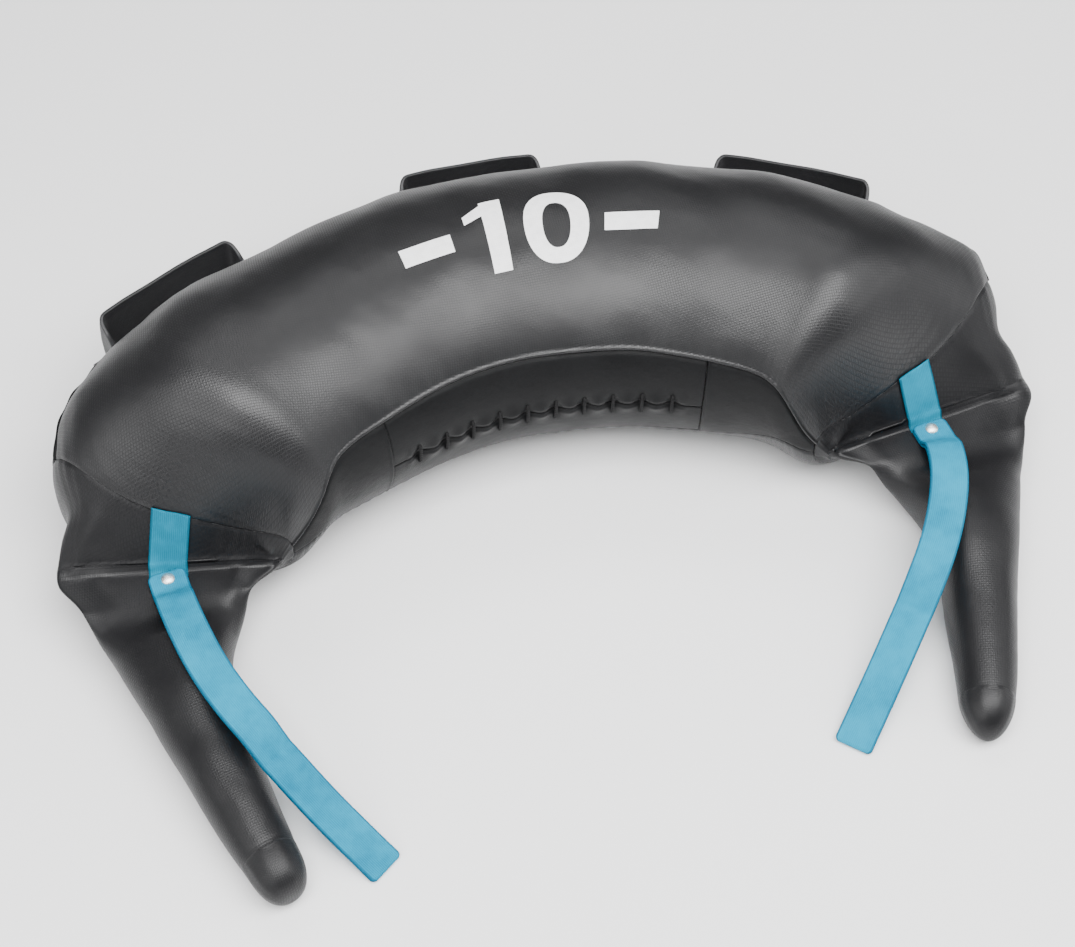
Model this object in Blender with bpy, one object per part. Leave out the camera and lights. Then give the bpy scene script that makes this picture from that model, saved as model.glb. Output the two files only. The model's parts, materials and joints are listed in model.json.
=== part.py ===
"""Crescent training bag of black vinyl with two horn grips, two webbing loops and three handles.

The bag lies flat on the floor.  Lengths are in metres, +Z is up, the open side of the crescent
faces -Y and the bag is the same on both sides of x = 0.
"""
import bmesh
import bpy
import numpy as np
from mathutils import Matrix, Vector

for old in list(bpy.data.objects):
    bpy.data.objects.remove(old, do_unlink=True)

# Driving sizes: the plan of the body, along its middle line from the centre to one end
ARCH_RADIUS = 0.354
ARCH_TURN = 20.5
SIDE_STRAIGHT = 0.044
SHOULDER_RADIUS = 0.136
SHOULDER_TURN = 39.0
YOKE_LENGTH = 0.045
CREASE_TURN = 21.5
PLAN_SHIFT = 0.1210

# Driving sizes: the section of the body, and how it falls to the pinched crease
BODY_WIDTH = 0.186
BODY_HEIGHT = 0.163
FLOOR_SAG = 0.0045
FALL_LENGTH = 0.073
CREASE_WIDTH = 0.142
CREASE_THICK = 0.0172
CREASE_RISE = 0.0340

# Driving sizes: vinyl, seams and clearances
VINYL = 0.0022
GAP = 0.0003
SPINE_HALF_ANGLE = 18.0
NECK_HALF_ANGLE = 30.0
NECK_END_ANGLE = 4.0
NECK_SEAM_AT = 0.140
SEAM_BOW = 0.0105
SEAM_SKEW = 0.0135
SEAM_AT = 0.0195

# Driving sizes: the laced slit on the inner curve
SLIT_HALF = 0.0011
LACE_RADIUS = 0.0010
LACE_STITCHES = 10
LACE_PITCH = 0.026
LACE_REACH = 0.0072
LACE_HOLE_PLAY = 0.0007

# Driving sizes: the filling
SLEEVE_PLAY = 0.0018
SLEEVE_THICK = 0.0080
SLEEVE_GROOVE = 0.0046
POUCH_COUNT = 5
POUCH_PLAY = 0.0003
POUCH_END_DEPTH = 0.0120
POUCH_SPACE = 0.0030

# Driving sizes: the horn grips, measured from the crease
GRIP_LENGTH = 0.222
GRIP_SWEEP = 17.0
GRIP_LEAD = 0.085
GRIP_BAND_WIDTH = 0.112
GRIP_BAND_THICK = 0.0080
GRIP_BAND_LENGTH = 0.023
GRIP_FLARE_LENGTH = 0.031
GRIP_SHOULDER = 0.075
GRIP_THICK = 0.052
GRIP_TIP = 0.034
GRIP_TIP_ROUND = 0.012
GRIP_FLOOR_PLAY = 0.0004
ROOT_PLAY = 0.0005
ROOT_END_PLAY = 0.0014
CAP_PLUG = 0.007
CAP_DOME = 0.006

# Driving sizes: rivets and webbing
WEBBING_WIDTH = 0.025
WEBBING_THICK = 0.0016
RIVET_AT = 0.0123
RIVET_HEAD = 0.0090
RIVET_DOME = 0.0024
RIVET_SHANK = 0.0046
RIVET_WASHER = 0.0100
RIVET_WASHER_THICK = 0.0011
RIVET_TAIL = 0.0012
EYE_LENGTH = 0.0115
TAB_LAP = 0.0020
LOOP_LENGTH = 0.245
LOOP_CREST = 0.0150
LOOP_SPACE = 0.0006
LOOP_SWING = {"left": 15.0, "right": 1.0}
LOOP_TURN = {"left": 31.0, "right": 50.0}
LOOP_BEND = {"left": 1.5, "right": 0.48}
LOOP_TURN_SHARE = 0.60

# Driving sizes: the three handles on the outer curve
HANDLE_SIDE_AT = 0.1845
HANDLE_SPAN = 0.122
HANDLE_WIDTH = 0.041
HANDLE_THICK = 0.0034
HANDLE_STAND = 0.0265
HANDLE_BAR = 0.0034
HANDLE_AXIS_STAND = 0.0058
HANDLE_BOW = 0.0016
KEEPER_LENGTH = 0.014
KEEPER_HALF_WIDTH = 0.0135
KEEPER_WALL = 0.0022

PANEL_COLUMNS = 11
GRIP_COLUMNS = 16
SLEEVE_COLUMNS = 16


def paint(name, colour, roughness, metallic=0.0):
    """Make a surface material."""
    made = bpy.data.materials.new(name)
    made.use_nodes = True
    shader = made.node_tree.nodes["Principled BSDF"]
    shader.inputs["Base Color"].default_value = (*colour, 1.0)
    shader.inputs["Roughness"].default_value = roughness
    shader.inputs["Metallic"].default_value = metallic
    made.diffuse_color = (*colour, 1.0)
    return made


# The middle line of the body

ARCH_END = ARCH_RADIUS * np.radians(ARCH_TURN)
STRAIGHT_END = ARCH_END + SIDE_STRAIGHT
SHOULDER_END = STRAIGHT_END + SHOULDER_RADIUS * np.radians(SHOULDER_TURN)
CREASE_AT = SHOULDER_END + YOKE_LENGTH


def middle_line(s):
    """Plan point and heading at the length s from the centre; the heading turns from +X to -Y."""
    s = np.abs(np.asarray(s, float))
    arch = np.radians(ARCH_TURN)
    first = np.clip(s, 0.0, ARCH_END) / ARCH_RADIUS
    x = ARCH_RADIUS * np.sin(first)
    y = PLAN_SHIFT - ARCH_RADIUS * (1.0 - np.cos(first))
    run = np.clip(s - ARCH_END, 0.0, SIDE_STRAIGHT)
    x = x + run * np.cos(arch)
    y = y - run * np.sin(arch)
    second = np.clip(s - STRAIGHT_END, 0.0, SHOULDER_END - STRAIGHT_END) / SHOULDER_RADIUS
    x = x + SHOULDER_RADIUS * (np.sin(arch + second) - np.sin(arch))
    y = y - SHOULDER_RADIUS * (np.cos(arch) - np.cos(arch + second))
    end = arch + np.radians(SHOULDER_TURN)
    run = np.clip(s - SHOULDER_END, 0.0, None)
    x = x + run * np.cos(end)
    y = y - run * np.sin(end)
    extra = np.radians(CREASE_TURN) * np.clip(run / YOKE_LENGTH, 0.0, 1.0)
    return x, y, first + second + extra


def round_power(value, power):
    """Signed power, which squares up a circle's sine or cosine."""
    return np.sign(value) * np.abs(value) ** power


def body_section(s):
    """Half width, half height, middle height and squareness of the body at the length s."""
    k = np.clip((np.abs(s) - (CREASE_AT - FALL_LENGTH)) / FALL_LENGTH, 0.0, 1.0)
    half_width = BODY_WIDTH / 2 - (BODY_WIDTH - CREASE_WIDTH) / 2 * k ** 1.6
    half_full = (BODY_HEIGHT + FLOOR_SAG) / 2
    half_height = CREASE_THICK / 2 + (half_full - CREASE_THICK / 2) * (1.0 - k ** 1.8)
    middle = half_height - FLOOR_SAG * (1.0 - k) + CREASE_RISE * k ** 3
    return half_width, half_height, middle, 2.0 + 1.2 * k ** 2


def body_point(s, angle):
    """Point on the outside of the body; the angle is 0 on the outer curve and 90 on top."""
    s, angle = np.broadcast_arrays(np.asarray(s, float), np.asarray(angle, float))
    x, y, heading = middle_line(s)
    half_width, half_height, middle, square = body_section(s)
    side = np.where(s < 0.0, -1.0, 1.0)
    turn = np.radians(angle)
    across = half_width * round_power(np.cos(turn), 2.0 / square)
    up = half_height * round_power(np.sin(turn), 2.0 / square)
    z = np.maximum(middle + up, 0.0)
    x = side * (x + across * np.sin(heading))
    return np.stack([x, y + across * np.cos(heading), z], axis=-1)


def body_middle(s, angle):
    """Middle of the section that a body point belongs to."""
    s, angle = np.broadcast_arrays(np.asarray(s, float), np.asarray(angle, float))
    x, y, _ = middle_line(s)
    middle = body_section(s)[2]
    return np.stack([np.where(s < 0.0, -x, x), y, middle], axis=-1)


def inset(point, middle, s, angle, depth, step=0.0004, turn=0.4):
    """Move a surface point inward along the surface's own normal."""
    along = point(s + step, angle) - point(s - step, angle)
    around = point(s, angle + turn) - point(s, angle - turn)
    normal = np.cross(along, around)
    normal /= np.maximum(np.linalg.norm(normal, axis=-1, keepdims=True), 1e-12)
    here = point(s, angle)
    outward = np.sum(normal * (here - middle(s, angle)), axis=-1, keepdims=True)
    normal *= np.where(outward < 0.0, -1.0, 1.0)
    return here - normal * np.asarray(depth, float)[..., None]


def body_inset(s, angle, depth):
    """Point below the outside of the body."""
    s, angle, depth = np.broadcast_arrays(*(np.asarray(v, float) for v in (s, angle, depth)))
    return inset(body_point, body_middle, s, angle, depth)


# Mesh helpers

PIECES = {}


def finish(name, verts, faces, material, smooth=True, side=1.0):
    """Make one closed piece, mirrored to the left when side is -1."""
    mesh = bpy.data.meshes.new(name)
    points = [(side * float(x), float(y), float(z)) for x, y, z in verts]
    mesh.from_pydata(points, [], [list(face) for face in faces])
    work = bmesh.new()
    work.from_mesh(mesh)
    bmesh.ops.remove_doubles(work, verts=work.verts, dist=0.00001)
    bmesh.ops.triangulate(work, faces=work.faces, quad_method="FIXED")
    bmesh.ops.dissolve_degenerate(work, edges=work.edges, dist=0.000001)
    bmesh.ops.recalc_face_normals(work, faces=work.faces)
    work.to_mesh(mesh)
    work.free()
    made = bpy.data.objects.new(name, mesh)
    bpy.context.scene.collection.objects.link(made)
    mesh.materials.append(material)
    if smooth:
        mesh.polygons.foreach_set("use_smooth", [True] * len(mesh.polygons))
        mesh.set_sharp_from_angle(angle=np.radians(38.0))
    PIECES[name] = made
    return made


def grid_faces(rows, columns, start, wrap):
    """Quads over a grid of points."""
    span = columns if wrap else columns - 1
    found = []
    for i in range(rows - 1):
        for j in range(span):
            k = (j + 1) % columns
            a = start + i * columns
            b = a + columns
            found.append((a + j, a + k, b + k, b + j))
    return found


def wall(outer, inner, wrap):
    """Closed sheet between two grids of points with the same shape."""
    rows, columns, _ = outer.shape
    count = rows * columns
    verts = np.concatenate([outer.reshape(-1, 3), inner.reshape(-1, 3)])
    faces = grid_faces(rows, columns, 0, wrap)
    faces += [(a, d, c, b) for a, b, c, d in grid_faces(rows, columns, count, wrap)]
    span = columns if wrap else columns - 1
    for row in (0, rows - 1):
        for j in range(span):
            a = row * columns + j
            b = row * columns + (j + 1) % columns
            faces.append((a, b, b + count, a + count))
    if not wrap:
        for column in (0, columns - 1):
            for i in range(rows - 1):
                a = i * columns + column
                faces.append((a, a + columns, a + columns + count, a + count))
    return verts, faces


def plug(rings):
    """Closed solid through a stack of rings."""
    rows, columns, _ = rings.shape
    verts = list(rings.reshape(-1, 3))
    faces = grid_faces(rows, columns, 0, True)
    for row in (0, rows - 1):
        verts.append(rings[row].mean(axis=0))
        for j in range(columns):
            a = row * columns + j
            b = row * columns + (j + 1) % columns
            faces.append((a, b, len(verts) - 1))
    return np.array(verts), faces


def cup(outer, inner):
    """Closed solid with a blind hole: the last rows of both stacks of rings meet at its mouth."""
    rows, columns, _ = outer.shape
    deep = inner.shape[0]
    count = rows * columns
    verts = list(outer.reshape(-1, 3)) + list(inner.reshape(-1, 3))
    faces = grid_faces(rows, columns, 0, True)
    faces += [(a, d, c, b) for a, b, c, d in grid_faces(deep, columns, count, True)]
    for start, ring in ((0, outer[0]), (count, inner[0])):
        verts.append(ring.mean(axis=0))
        for j in range(columns):
            faces.append((start + j, start + (j + 1) % columns, len(verts) - 1))
    for j in range(columns):
        k = (j + 1) % columns
        a = (rows - 1) * columns
        b = count + (deep - 1) * columns
        faces.append((a + j, a + k, b + k, b + j))
    return np.array(verts), faces


def spin(profile, columns):
    """Closed solid made by turning a profile of (radius, height) pairs about Z."""
    turns = np.arange(columns) * 2.0 * np.pi / columns
    rings = []
    for radius, height in profile:
        ring = [(radius * np.cos(t), radius * np.sin(t), height) for t in turns]
        rings.append(ring)
    return plug(np.array(rings))


def spin_hollow(profile, columns):
    """Ring made by turning a closed profile about Z."""
    turns = np.arange(columns) * 2.0 * np.pi / columns
    verts = [(r * np.cos(t), r * np.sin(t), z) for t in turns for r, z in profile]
    count = len(profile)
    faces = []
    for i in range(columns):
        for j in range(count):
            k = (j + 1) % count
            n = ((i + 1) % columns) * count
            faces.append((i * count + j, i * count + k, n + k, n + j))
    return np.array(verts), faces


def place(points, frame):
    """Carry local points into the bag's frame; the frame is (origin, x, y, z)."""
    origin, ax, ay, az = frame
    points = np.asarray(points, float)
    return origin + points[..., :1] * ax + points[..., 1:2] * ay + points[..., 2:3] * az


def cut(target, tools, operation):
    """Boolean the tools into the target and apply it."""
    for tool in tools:
        change = target.modifiers.new("join", "BOOLEAN")
        change.operation = operation
        change.solver = "EXACT"
        change.object = tool
    bpy.context.view_layer.update()
    ready = target.evaluated_get(bpy.context.evaluated_depsgraph_get())
    fresh = bpy.data.meshes.new_from_object(ready)
    target.modifiers.clear()
    target.data = fresh
    for tool in tools:
        bpy.data.objects.remove(tool, do_unlink=True)
    work = bmesh.new()
    work.from_mesh(fresh)
    bmesh.ops.remove_doubles(work, verts=work.verts, dist=0.000005)
    bmesh.ops.dissolve_degenerate(work, edges=work.edges, dist=0.000002)
    bmesh.ops.triangulate(work, faces=[face for face in work.faces if len(face.verts) > 4])
    work.to_mesh(fresh)
    work.free()


VINYL_BLACK = (0.020, 0.020, 0.023)
BLACK_VINYL = paint("black_vinyl", VINYL_BLACK, 0.42)
SMOOTH_VINYL = paint("smooth_black_vinyl", (0.016, 0.016, 0.018), 0.32)
BLUE_WEBBING = paint("blue_webbing", (0.085, 0.480, 0.660), 0.72)
NICKEL = paint("nickel_plated_steel", (0.720, 0.715, 0.700), 0.22, 1.0)
LACE_BLACK = paint("black_waxed_lace", (0.012, 0.012, 0.013), 0.55)
WADDING = paint("wool_wadding", (0.420, 0.400, 0.360), 0.95)
POUCH = paint("sand_pouch_cloth", (0.330, 0.300, 0.250), 0.85)

# Lengths at which every body panel has a row of points

ARCH_ROWS = 4
SHOULDER_ROWS = 5


def half_rows():
    """Row lengths from the centre to the row before the end seam."""
    rows = list(np.linspace(0.0, ARCH_END, ARCH_ROWS + 1))
    rows.append(NECK_SEAM_AT)
    rows.append(STRAIGHT_END)
    rows += list(np.linspace(STRAIGHT_END, SHOULDER_END, SHOULDER_ROWS + 1))[1:SHOULDER_ROWS]
    return rows


def body_rows():
    """Row lengths from one side's last common row to the other's."""
    right = half_rows()
    return np.array([-s for s in right[:0:-1]] + right)


def end_seam(angle):
    """Length at which the end seam crosses the given angle round the body."""
    turn = np.radians(angle)
    bow = SEAM_BOW * np.sin(turn) ** 2 - SEAM_SKEW * np.cos(turn)
    return SHOULDER_END + SEAM_AT + bow


def neck_edge(s):
    """Half angle of the neck panel on the inner curve."""
    far = end_seam(180.0)
    k = np.clip(np.abs(s) / far, 0.0, 1.0)
    return NECK_END_ANGLE + (NECK_HALF_ANGLE - NECK_END_ANGLE) * (1.0 - k ** 2.6)


SEAM_TURN = np.degrees(GAP * 0.8 / (BODY_HEIGHT / 2))


def panel_grid(first, last, columns, rows, seam_left, seam_right, depth):
    """Grid over part of the body, with edges that may follow the end seams."""
    rows = np.asarray(rows, float)
    if seam_left:
        rows = np.concatenate([[0.0, 0.0, 0.0], rows])
    if seam_right:
        rows = np.concatenate([rows, [0.0, 0.0, 0.0]])
    mix = np.linspace(0.0, 1.0, columns)
    s = np.repeat(rows[:, None], columns, axis=1)
    for _ in range(2):
        low = first(s)
        high = last(s)
        angle = low + (high - low) * mix[None, :]
        reach = end_seam(angle) - GAP / 2
        if seam_left:
            near = s[3]
            for i, share in ((0, 1.0), (1, 0.667), (2, 0.333)):
                s[i] = near + (-reach[i] - near) * share
        if seam_right:
            near = s[-4]
            for i, share in ((-1, 1.0), (-2, 0.667), (-3, 0.333)):
                s[i] = near + (reach[i] - near) * share
    return body_inset(s, angle, np.full_like(s, depth))


def panel(name, first, last, columns, rows, ends, material):
    """One vinyl panel of the body."""
    grids = [panel_grid(first, last, columns, rows, ends[0], ends[1], d) for d in (0.0, VINYL)]
    verts, faces = wall(grids[0], grids[1], False)
    return finish(name, verts, faces, material)


ROWS = body_rows()
INNER_ROWS = [s for s in ROWS if abs(s) <= NECK_SEAM_AT + 1e-9]
OUTER_ROWS = [s for s in ROWS if s >= NECK_SEAM_AT - 1e-9]

# Upper and lower panels, the strip on the outer curve and the neck panels

panel("front_panel",
      lambda s: np.full_like(s, SPINE_HALF_ANGLE + SEAM_TURN),
      lambda s: 180.0 - neck_edge(s) - SEAM_TURN,
      PANEL_COLUMNS, ROWS, (True, True), BLACK_VINYL)
panel("back_panel",
      lambda s: np.full_like(s, -SPINE_HALF_ANGLE - SEAM_TURN),
      lambda s: -180.0 + neck_edge(s) + SEAM_TURN,
      PANEL_COLUMNS, ROWS, (True, True), BLACK_VINYL)
panel("outer_strip",
      lambda s: np.full_like(s, -SPINE_HALF_ANGLE + SEAM_TURN),
      lambda s: np.full_like(s, SPINE_HALF_ANGLE - SEAM_TURN),
      4, ROWS, (True, True), SMOOTH_VINYL)

SHIFTED = list(OUTER_ROWS)
SHIFTED[0] = NECK_SEAM_AT + GAP / 2
for label, sign in (("right", 1.0), ("left", -1.0)):
    rows = [sign * s for s in SHIFTED]
    if sign < 0.0:
        rows = rows[::-1]
    panel("neck_gusset_" + label,
          lambda s: 180.0 - neck_edge(s) + SEAM_TURN,
          lambda s: 180.0 + neck_edge(s) - SEAM_TURN,
          5, rows, (sign < 0.0, sign > 0.0), SMOOTH_VINYL)

SLIT_TURN = np.degrees(SLIT_HALF / (BODY_HEIGHT / 2))
LACE_TURN = np.degrees(LACE_REACH / (BODY_HEIGHT / 2))
LIP_ROWS = list(INNER_ROWS)
LIP_ROWS[0] = -NECK_SEAM_AT + GAP / 2
LIP_ROWS[-1] = NECK_SEAM_AT - GAP / 2
for label, sign in (("front", 1.0), ("back", -1.0)):
    grids = []
    for depth in (0.0, VINYL):
        s = np.repeat(np.array(LIP_ROWS)[:, None], 4, axis=1)
        far = neck_edge(s[:, 0]) - SEAM_TURN
        turns = np.stack([far, far * 0.62, np.full_like(far, 11.0), np.full_like(far, SLIT_TURN)], 1)
        grids.append(body_inset(s, 180.0 - sign * turns, np.full_like(s, depth)))
    verts, faces = wall(grids[0], grids[1], False)
    finish("neck_lip_" + label, verts, faces, SMOOTH_VINYL)

# The lace: one cord whipped through both lips of the slit

STITCHES = (np.arange(LACE_STITCHES) - (LACE_STITCHES - 1) / 2) * LACE_PITCH
LACE_OUT = LACE_RADIUS + 0.0005
LACE_IN = VINYL + LACE_RADIUS + 0.0008


def lace_point(s, turn, depth):
    """Point of the lace's middle line."""
    return body_inset(np.array(s), np.array(180.0 + turn), np.array(depth))


def lace_route():
    """Corner points of the whole lace, from one tucked end to the other."""
    corners = [lace_point(STITCHES[0] - LACE_PITCH * 0.55, -LACE_TURN * 0.3, LACE_IN)]
    for s in STITCHES:
        corners.append(lace_point(s, LACE_TURN, LACE_IN))
        corners.append(lace_point(s, LACE_TURN, -LACE_OUT))
        corners.append(lace_point(s, 0.0, -LACE_OUT - 0.0002))
        corners.append(lace_point(s, -LACE_TURN, -LACE_OUT))
        corners.append(lace_point(s, -LACE_TURN, LACE_IN))
    corners.append(lace_point(STITCHES[-1] + LACE_PITCH * 0.55, LACE_TURN * 0.3, LACE_IN))
    return corners


def round_corners(corners, leg):
    """Replace each sharp corner with a short curve of three points."""
    path = [corners[0]]
    for before, here, after in zip(corners, corners[1:], corners[2:]):
        back = before - here
        ahead = after - here
        cosine = np.dot(back, ahead) / np.linalg.norm(back) / np.linalg.norm(ahead)
        if cosine < -0.95:
            path.append(here)
            continue
        start = here + back / np.linalg.norm(back) * min(leg, np.linalg.norm(back) * 0.45)
        stop = here + ahead / np.linalg.norm(ahead) * min(leg, np.linalg.norm(ahead) * 0.45)
        path += [start, start * 0.25 + here * 0.5 + stop * 0.25, stop]
    path.append(corners[-1])
    return np.array(path)


def tube(path, radius, sides):
    """Rings of a round cord along a path, with a frame carried smoothly along it."""
    tangents = np.gradient(path, axis=0)
    tangents /= np.linalg.norm(tangents, axis=1, keepdims=True)
    across = np.cross(tangents[0], (0.0, 0.0, 1.0))
    if np.linalg.norm(across) < 0.1:
        across = np.cross(tangents[0], (1.0, 0.0, 0.0))
    rings = []
    turns = np.arange(sides) * 2.0 * np.pi / sides
    for here, tangent in zip(path, tangents):
        across = across - tangent * np.dot(across, tangent)
        across /= np.linalg.norm(across)
        other = np.cross(tangent, across)
        rings.append([here + radius * (np.cos(t) * across + np.sin(t) * other) for t in turns])
    return np.array(rings)


verts, faces = plug(tube(round_corners(lace_route(), 0.0018), LACE_RADIUS, 6))
finish("closing_lace", verts, faces, LACE_BLACK)

for label, sign in (("front", -1.0), ("back", 1.0)):
    drills = []
    for number, s in enumerate(STITCHES):
        ends = [lace_point(s, sign * LACE_TURN, d) for d in (-0.004, 0.008)]
        verts, faces = plug(tube(np.array(ends), LACE_RADIUS + LACE_HOLE_PLAY, 8))
        drill = finish("drill_%s_%d" % (label, number), verts, faces, LACE_BLACK, False)
        PIECES.pop(drill.name)
        drills.append(drill)
    base = drills[0]
    cut(base, drills[1:], "UNION")
    cut(PIECES["neck_lip_" + label], [base], "DIFFERENCE")

# The filling: a wool sleeve round five sand pouches

SLEEVE_OUT = VINYL + SLEEVE_PLAY
SLEEVE_IN = SLEEVE_OUT + SLEEVE_THICK
POUCH_OUT = SLEEVE_IN + POUCH_PLAY
SLEEVE_ANGLES = np.arange(SLEEVE_COLUMNS) * 360.0 / SLEEVE_COLUMNS


def filling_ring(s, depth, groove=0.0):
    """Ring of points at one depth below the outside."""
    deep = np.full(SLEEVE_COLUMNS, depth)
    deep[SLEEVE_COLUMNS // 2] += groove
    return body_inset(np.full(SLEEVE_COLUMNS, s), SLEEVE_ANGLES, deep)


outer = np.array([filling_ring(s, SLEEVE_OUT, SLEEVE_GROOVE) for s in ROWS])
inner = np.array([filling_ring(s, SLEEVE_IN, SLEEVE_GROOVE * 0.5) for s in ROWS])
verts, faces = wall(outer, inner, True)
finish("wadding_sleeve", verts, faces, WADDING)

LAST_ROW = ROWS[-1]
POUCH_EDGES = np.linspace(-LAST_ROW, LAST_ROW, POUCH_COUNT + 1)


def pouch_ring(s, depth):
    """Ring of points just inside the sleeve, on the straight lines between the sleeve's own rows."""
    after = int(np.clip(np.searchsorted(ROWS, s), 1, len(ROWS) - 1))
    share = (s - ROWS[after - 1]) / (ROWS[after] - ROWS[after - 1])
    before_ring = filling_ring(ROWS[after - 1], depth, SLEEVE_GROOVE * 0.5)
    after_ring = filling_ring(ROWS[after], depth, SLEEVE_GROOVE * 0.5)
    return before_ring * (1.0 - share) + after_ring * share


for number in range(POUCH_COUNT):
    start = POUCH_EDGES[number] + POUCH_SPACE / 2
    stop = POUCH_EDGES[number + 1] - POUCH_SPACE / 2
    shoulder = POUCH_END_DEPTH * 0.8
    inside = [s for s in ROWS if start + shoulder + 0.001 < s < stop - shoulder - 0.001]
    rings = [pouch_ring(start, POUCH_OUT + POUCH_END_DEPTH)]
    for place_at in [start + shoulder] + inside + [stop - shoulder]:
        rings.append(pouch_ring(place_at, POUCH_OUT))
    rings.append(pouch_ring(stop, POUCH_OUT + POUCH_END_DEPTH))
    verts, faces = plug(np.array(rings))
    finish("sand_pouch_%d" % (number + 1), verts, faces, POUCH)

# Yokes, from the end seam to the pinched mouth that holds a grip's round root

MOUTH_AT = CREASE_AT - GAP * 2
SEAM_EDGE = float(neck_edge(np.array(end_seam(176.0))))
UPPER_ANGLES = list(np.linspace(SPINE_HALF_ANGLE, 180.0 - SEAM_EDGE, PANEL_COLUMNS))
YOKE_ANGLES = [SPINE_HALF_ANGLE / 3] + UPPER_ANGLES
YOKE_ANGLES = np.array(YOKE_ANGLES + [180.0] + [360.0 - a for a in YOKE_ANGLES[::-1]])
RING_COLUMNS = len(YOKE_ANGLES)


def yoke_grid(depth):
    """Rings of the yoke from its seam to its mouth."""
    start = end_seam(YOKE_ANGLES) + GAP / 2
    rows = []
    for share in (0.0, 0.30, 0.58, 0.82, 1.0):
        s = start + (MOUTH_AT - start) * share
        rows.append(body_inset(s, YOKE_ANGLES, np.full(RING_COLUMNS, depth)))
    return np.array(rows)


YOKE_OUTER = yoke_grid(0.0)
YOKE_INNER = yoke_grid(VINYL)
for label, sign in (("right", 1.0), ("left", -1.0)):
    verts, faces = wall(YOKE_OUTER, YOKE_INNER, True)
    finish("yoke_" + label, verts, faces, BLACK_VINYL, True, sign)

# The crease's own frame, on the right: x along the crease outward, y along the grip, z up

CREASE_X, CREASE_Y, CREASE_HEADING = (float(v) for v in middle_line(CREASE_AT))
CREASE_Z = float(body_section(CREASE_AT)[2])
CREASE_ORIGIN = np.array([CREASE_X, CREASE_Y, CREASE_Z])
CREASE_OUT = np.array([np.sin(CREASE_HEADING), np.cos(CREASE_HEADING), 0.0])
CREASE_AHEAD = np.array([np.cos(CREASE_HEADING), -np.sin(CREASE_HEADING), 0.0])
UP = np.array([0.0, 0.0, 1.0])
CREASE_FRAME = (CREASE_ORIGIN, CREASE_OUT, CREASE_AHEAD, UP)

# Half thickness of the grip's round root at each point along the crease, to suit the mouth

mouth = YOKE_INNER[-1] - CREASE_ORIGIN
mouth_along = mouth @ CREASE_OUT
mouth_away = np.hypot(mouth @ CREASE_AHEAD, mouth @ UP) - ROOT_PLAY
ROOT_PROFILE = []
for j in range(RING_COLUMNS // 2):
    mirror = RING_COLUMNS - 1 - j
    reach = (mouth_along[j] + mouth_along[mirror]) / 2
    ROOT_PROFILE.append((reach, min(mouth_away[j], mouth_away[mirror])))
ROOT_PROFILE.sort()
ROOT_PROFILE[0] = (ROOT_PROFILE[0][0] + ROOT_END_PLAY, ROOT_PROFILE[0][1])
ROOT_PROFILE[-1] = (ROOT_PROFILE[-1][0] - ROOT_END_PLAY, ROOT_PROFILE[-1][1])
ROOT_RADIUS = max(radius for _, radius in ROOT_PROFILE)

# The grips


def knots(distance, places, values):
    """Smooth curve through a few sizes along the grip."""
    places = np.asarray(places, float)
    values = np.asarray(values, float)
    steps = np.diff(values) / np.diff(places)
    slopes = np.zeros_like(values)
    same = steps[1:] * steps[:-1] > 0.0
    slopes[1:-1][same] = 2.0 * steps[1:][same] * steps[:-1][same] / (steps[1:] + steps[:-1])[same]
    slopes[-1] = steps[-1]
    distance = np.clip(distance, places[0], places[-1])
    i = np.clip(np.searchsorted(places, distance, side="right") - 1, 0, len(places) - 2)
    span = places[i + 1] - places[i]
    t = (distance - places[i]) / span
    keep = 2 * t ** 3 - 3 * t ** 2 + 1
    rise = t ** 3 - 2 * t ** 2 + t
    give = -2 * t ** 3 + 3 * t ** 2
    fall = t ** 3 - t ** 2
    return (keep * values[i] + rise * span * slopes[i]
            + give * values[i + 1] + fall * span * slopes[i + 1])


GRIP_CONTROL = CREASE_ORIGIN + CREASE_AHEAD * GRIP_LEAD
TIP_HEADING = CREASE_HEADING + np.radians(GRIP_SWEEP)
GRIP_END = CREASE_ORIGIN + GRIP_LENGTH * np.array([np.cos(TIP_HEADING), -np.sin(TIP_HEADING), 0.0])
GRIP_T = np.linspace(0.0, 1.0, 201)
GRIP_CURVE = ((1 - GRIP_T[:, None]) ** 2 * CREASE_ORIGIN
              + 2 * (GRIP_T * (1 - GRIP_T))[:, None] * GRIP_CONTROL
              + GRIP_T[:, None] ** 2 * GRIP_END)
GRIP_STEPS = np.linalg.norm(np.diff(GRIP_CURVE, axis=0), axis=1)
GRIP_RUN = np.concatenate([[0.0], np.cumsum(GRIP_STEPS)])
GRIP_REACH = float(GRIP_RUN[-1])
FLARE_END = GRIP_BAND_LENGTH + GRIP_FLARE_LENGTH
HORN = GRIP_REACH - FLARE_END
GRIP_PLACES = [0.0, GRIP_BAND_LENGTH * 0.5, GRIP_BAND_LENGTH,
               GRIP_BAND_LENGTH + GRIP_FLARE_LENGTH * 0.48, FLARE_END,
               FLARE_END + HORN * 0.17, FLARE_END + HORN * 0.45,
               GRIP_REACH - GRIP_TIP_ROUND, GRIP_REACH - GRIP_TIP_ROUND / 3, GRIP_REACH]


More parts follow.
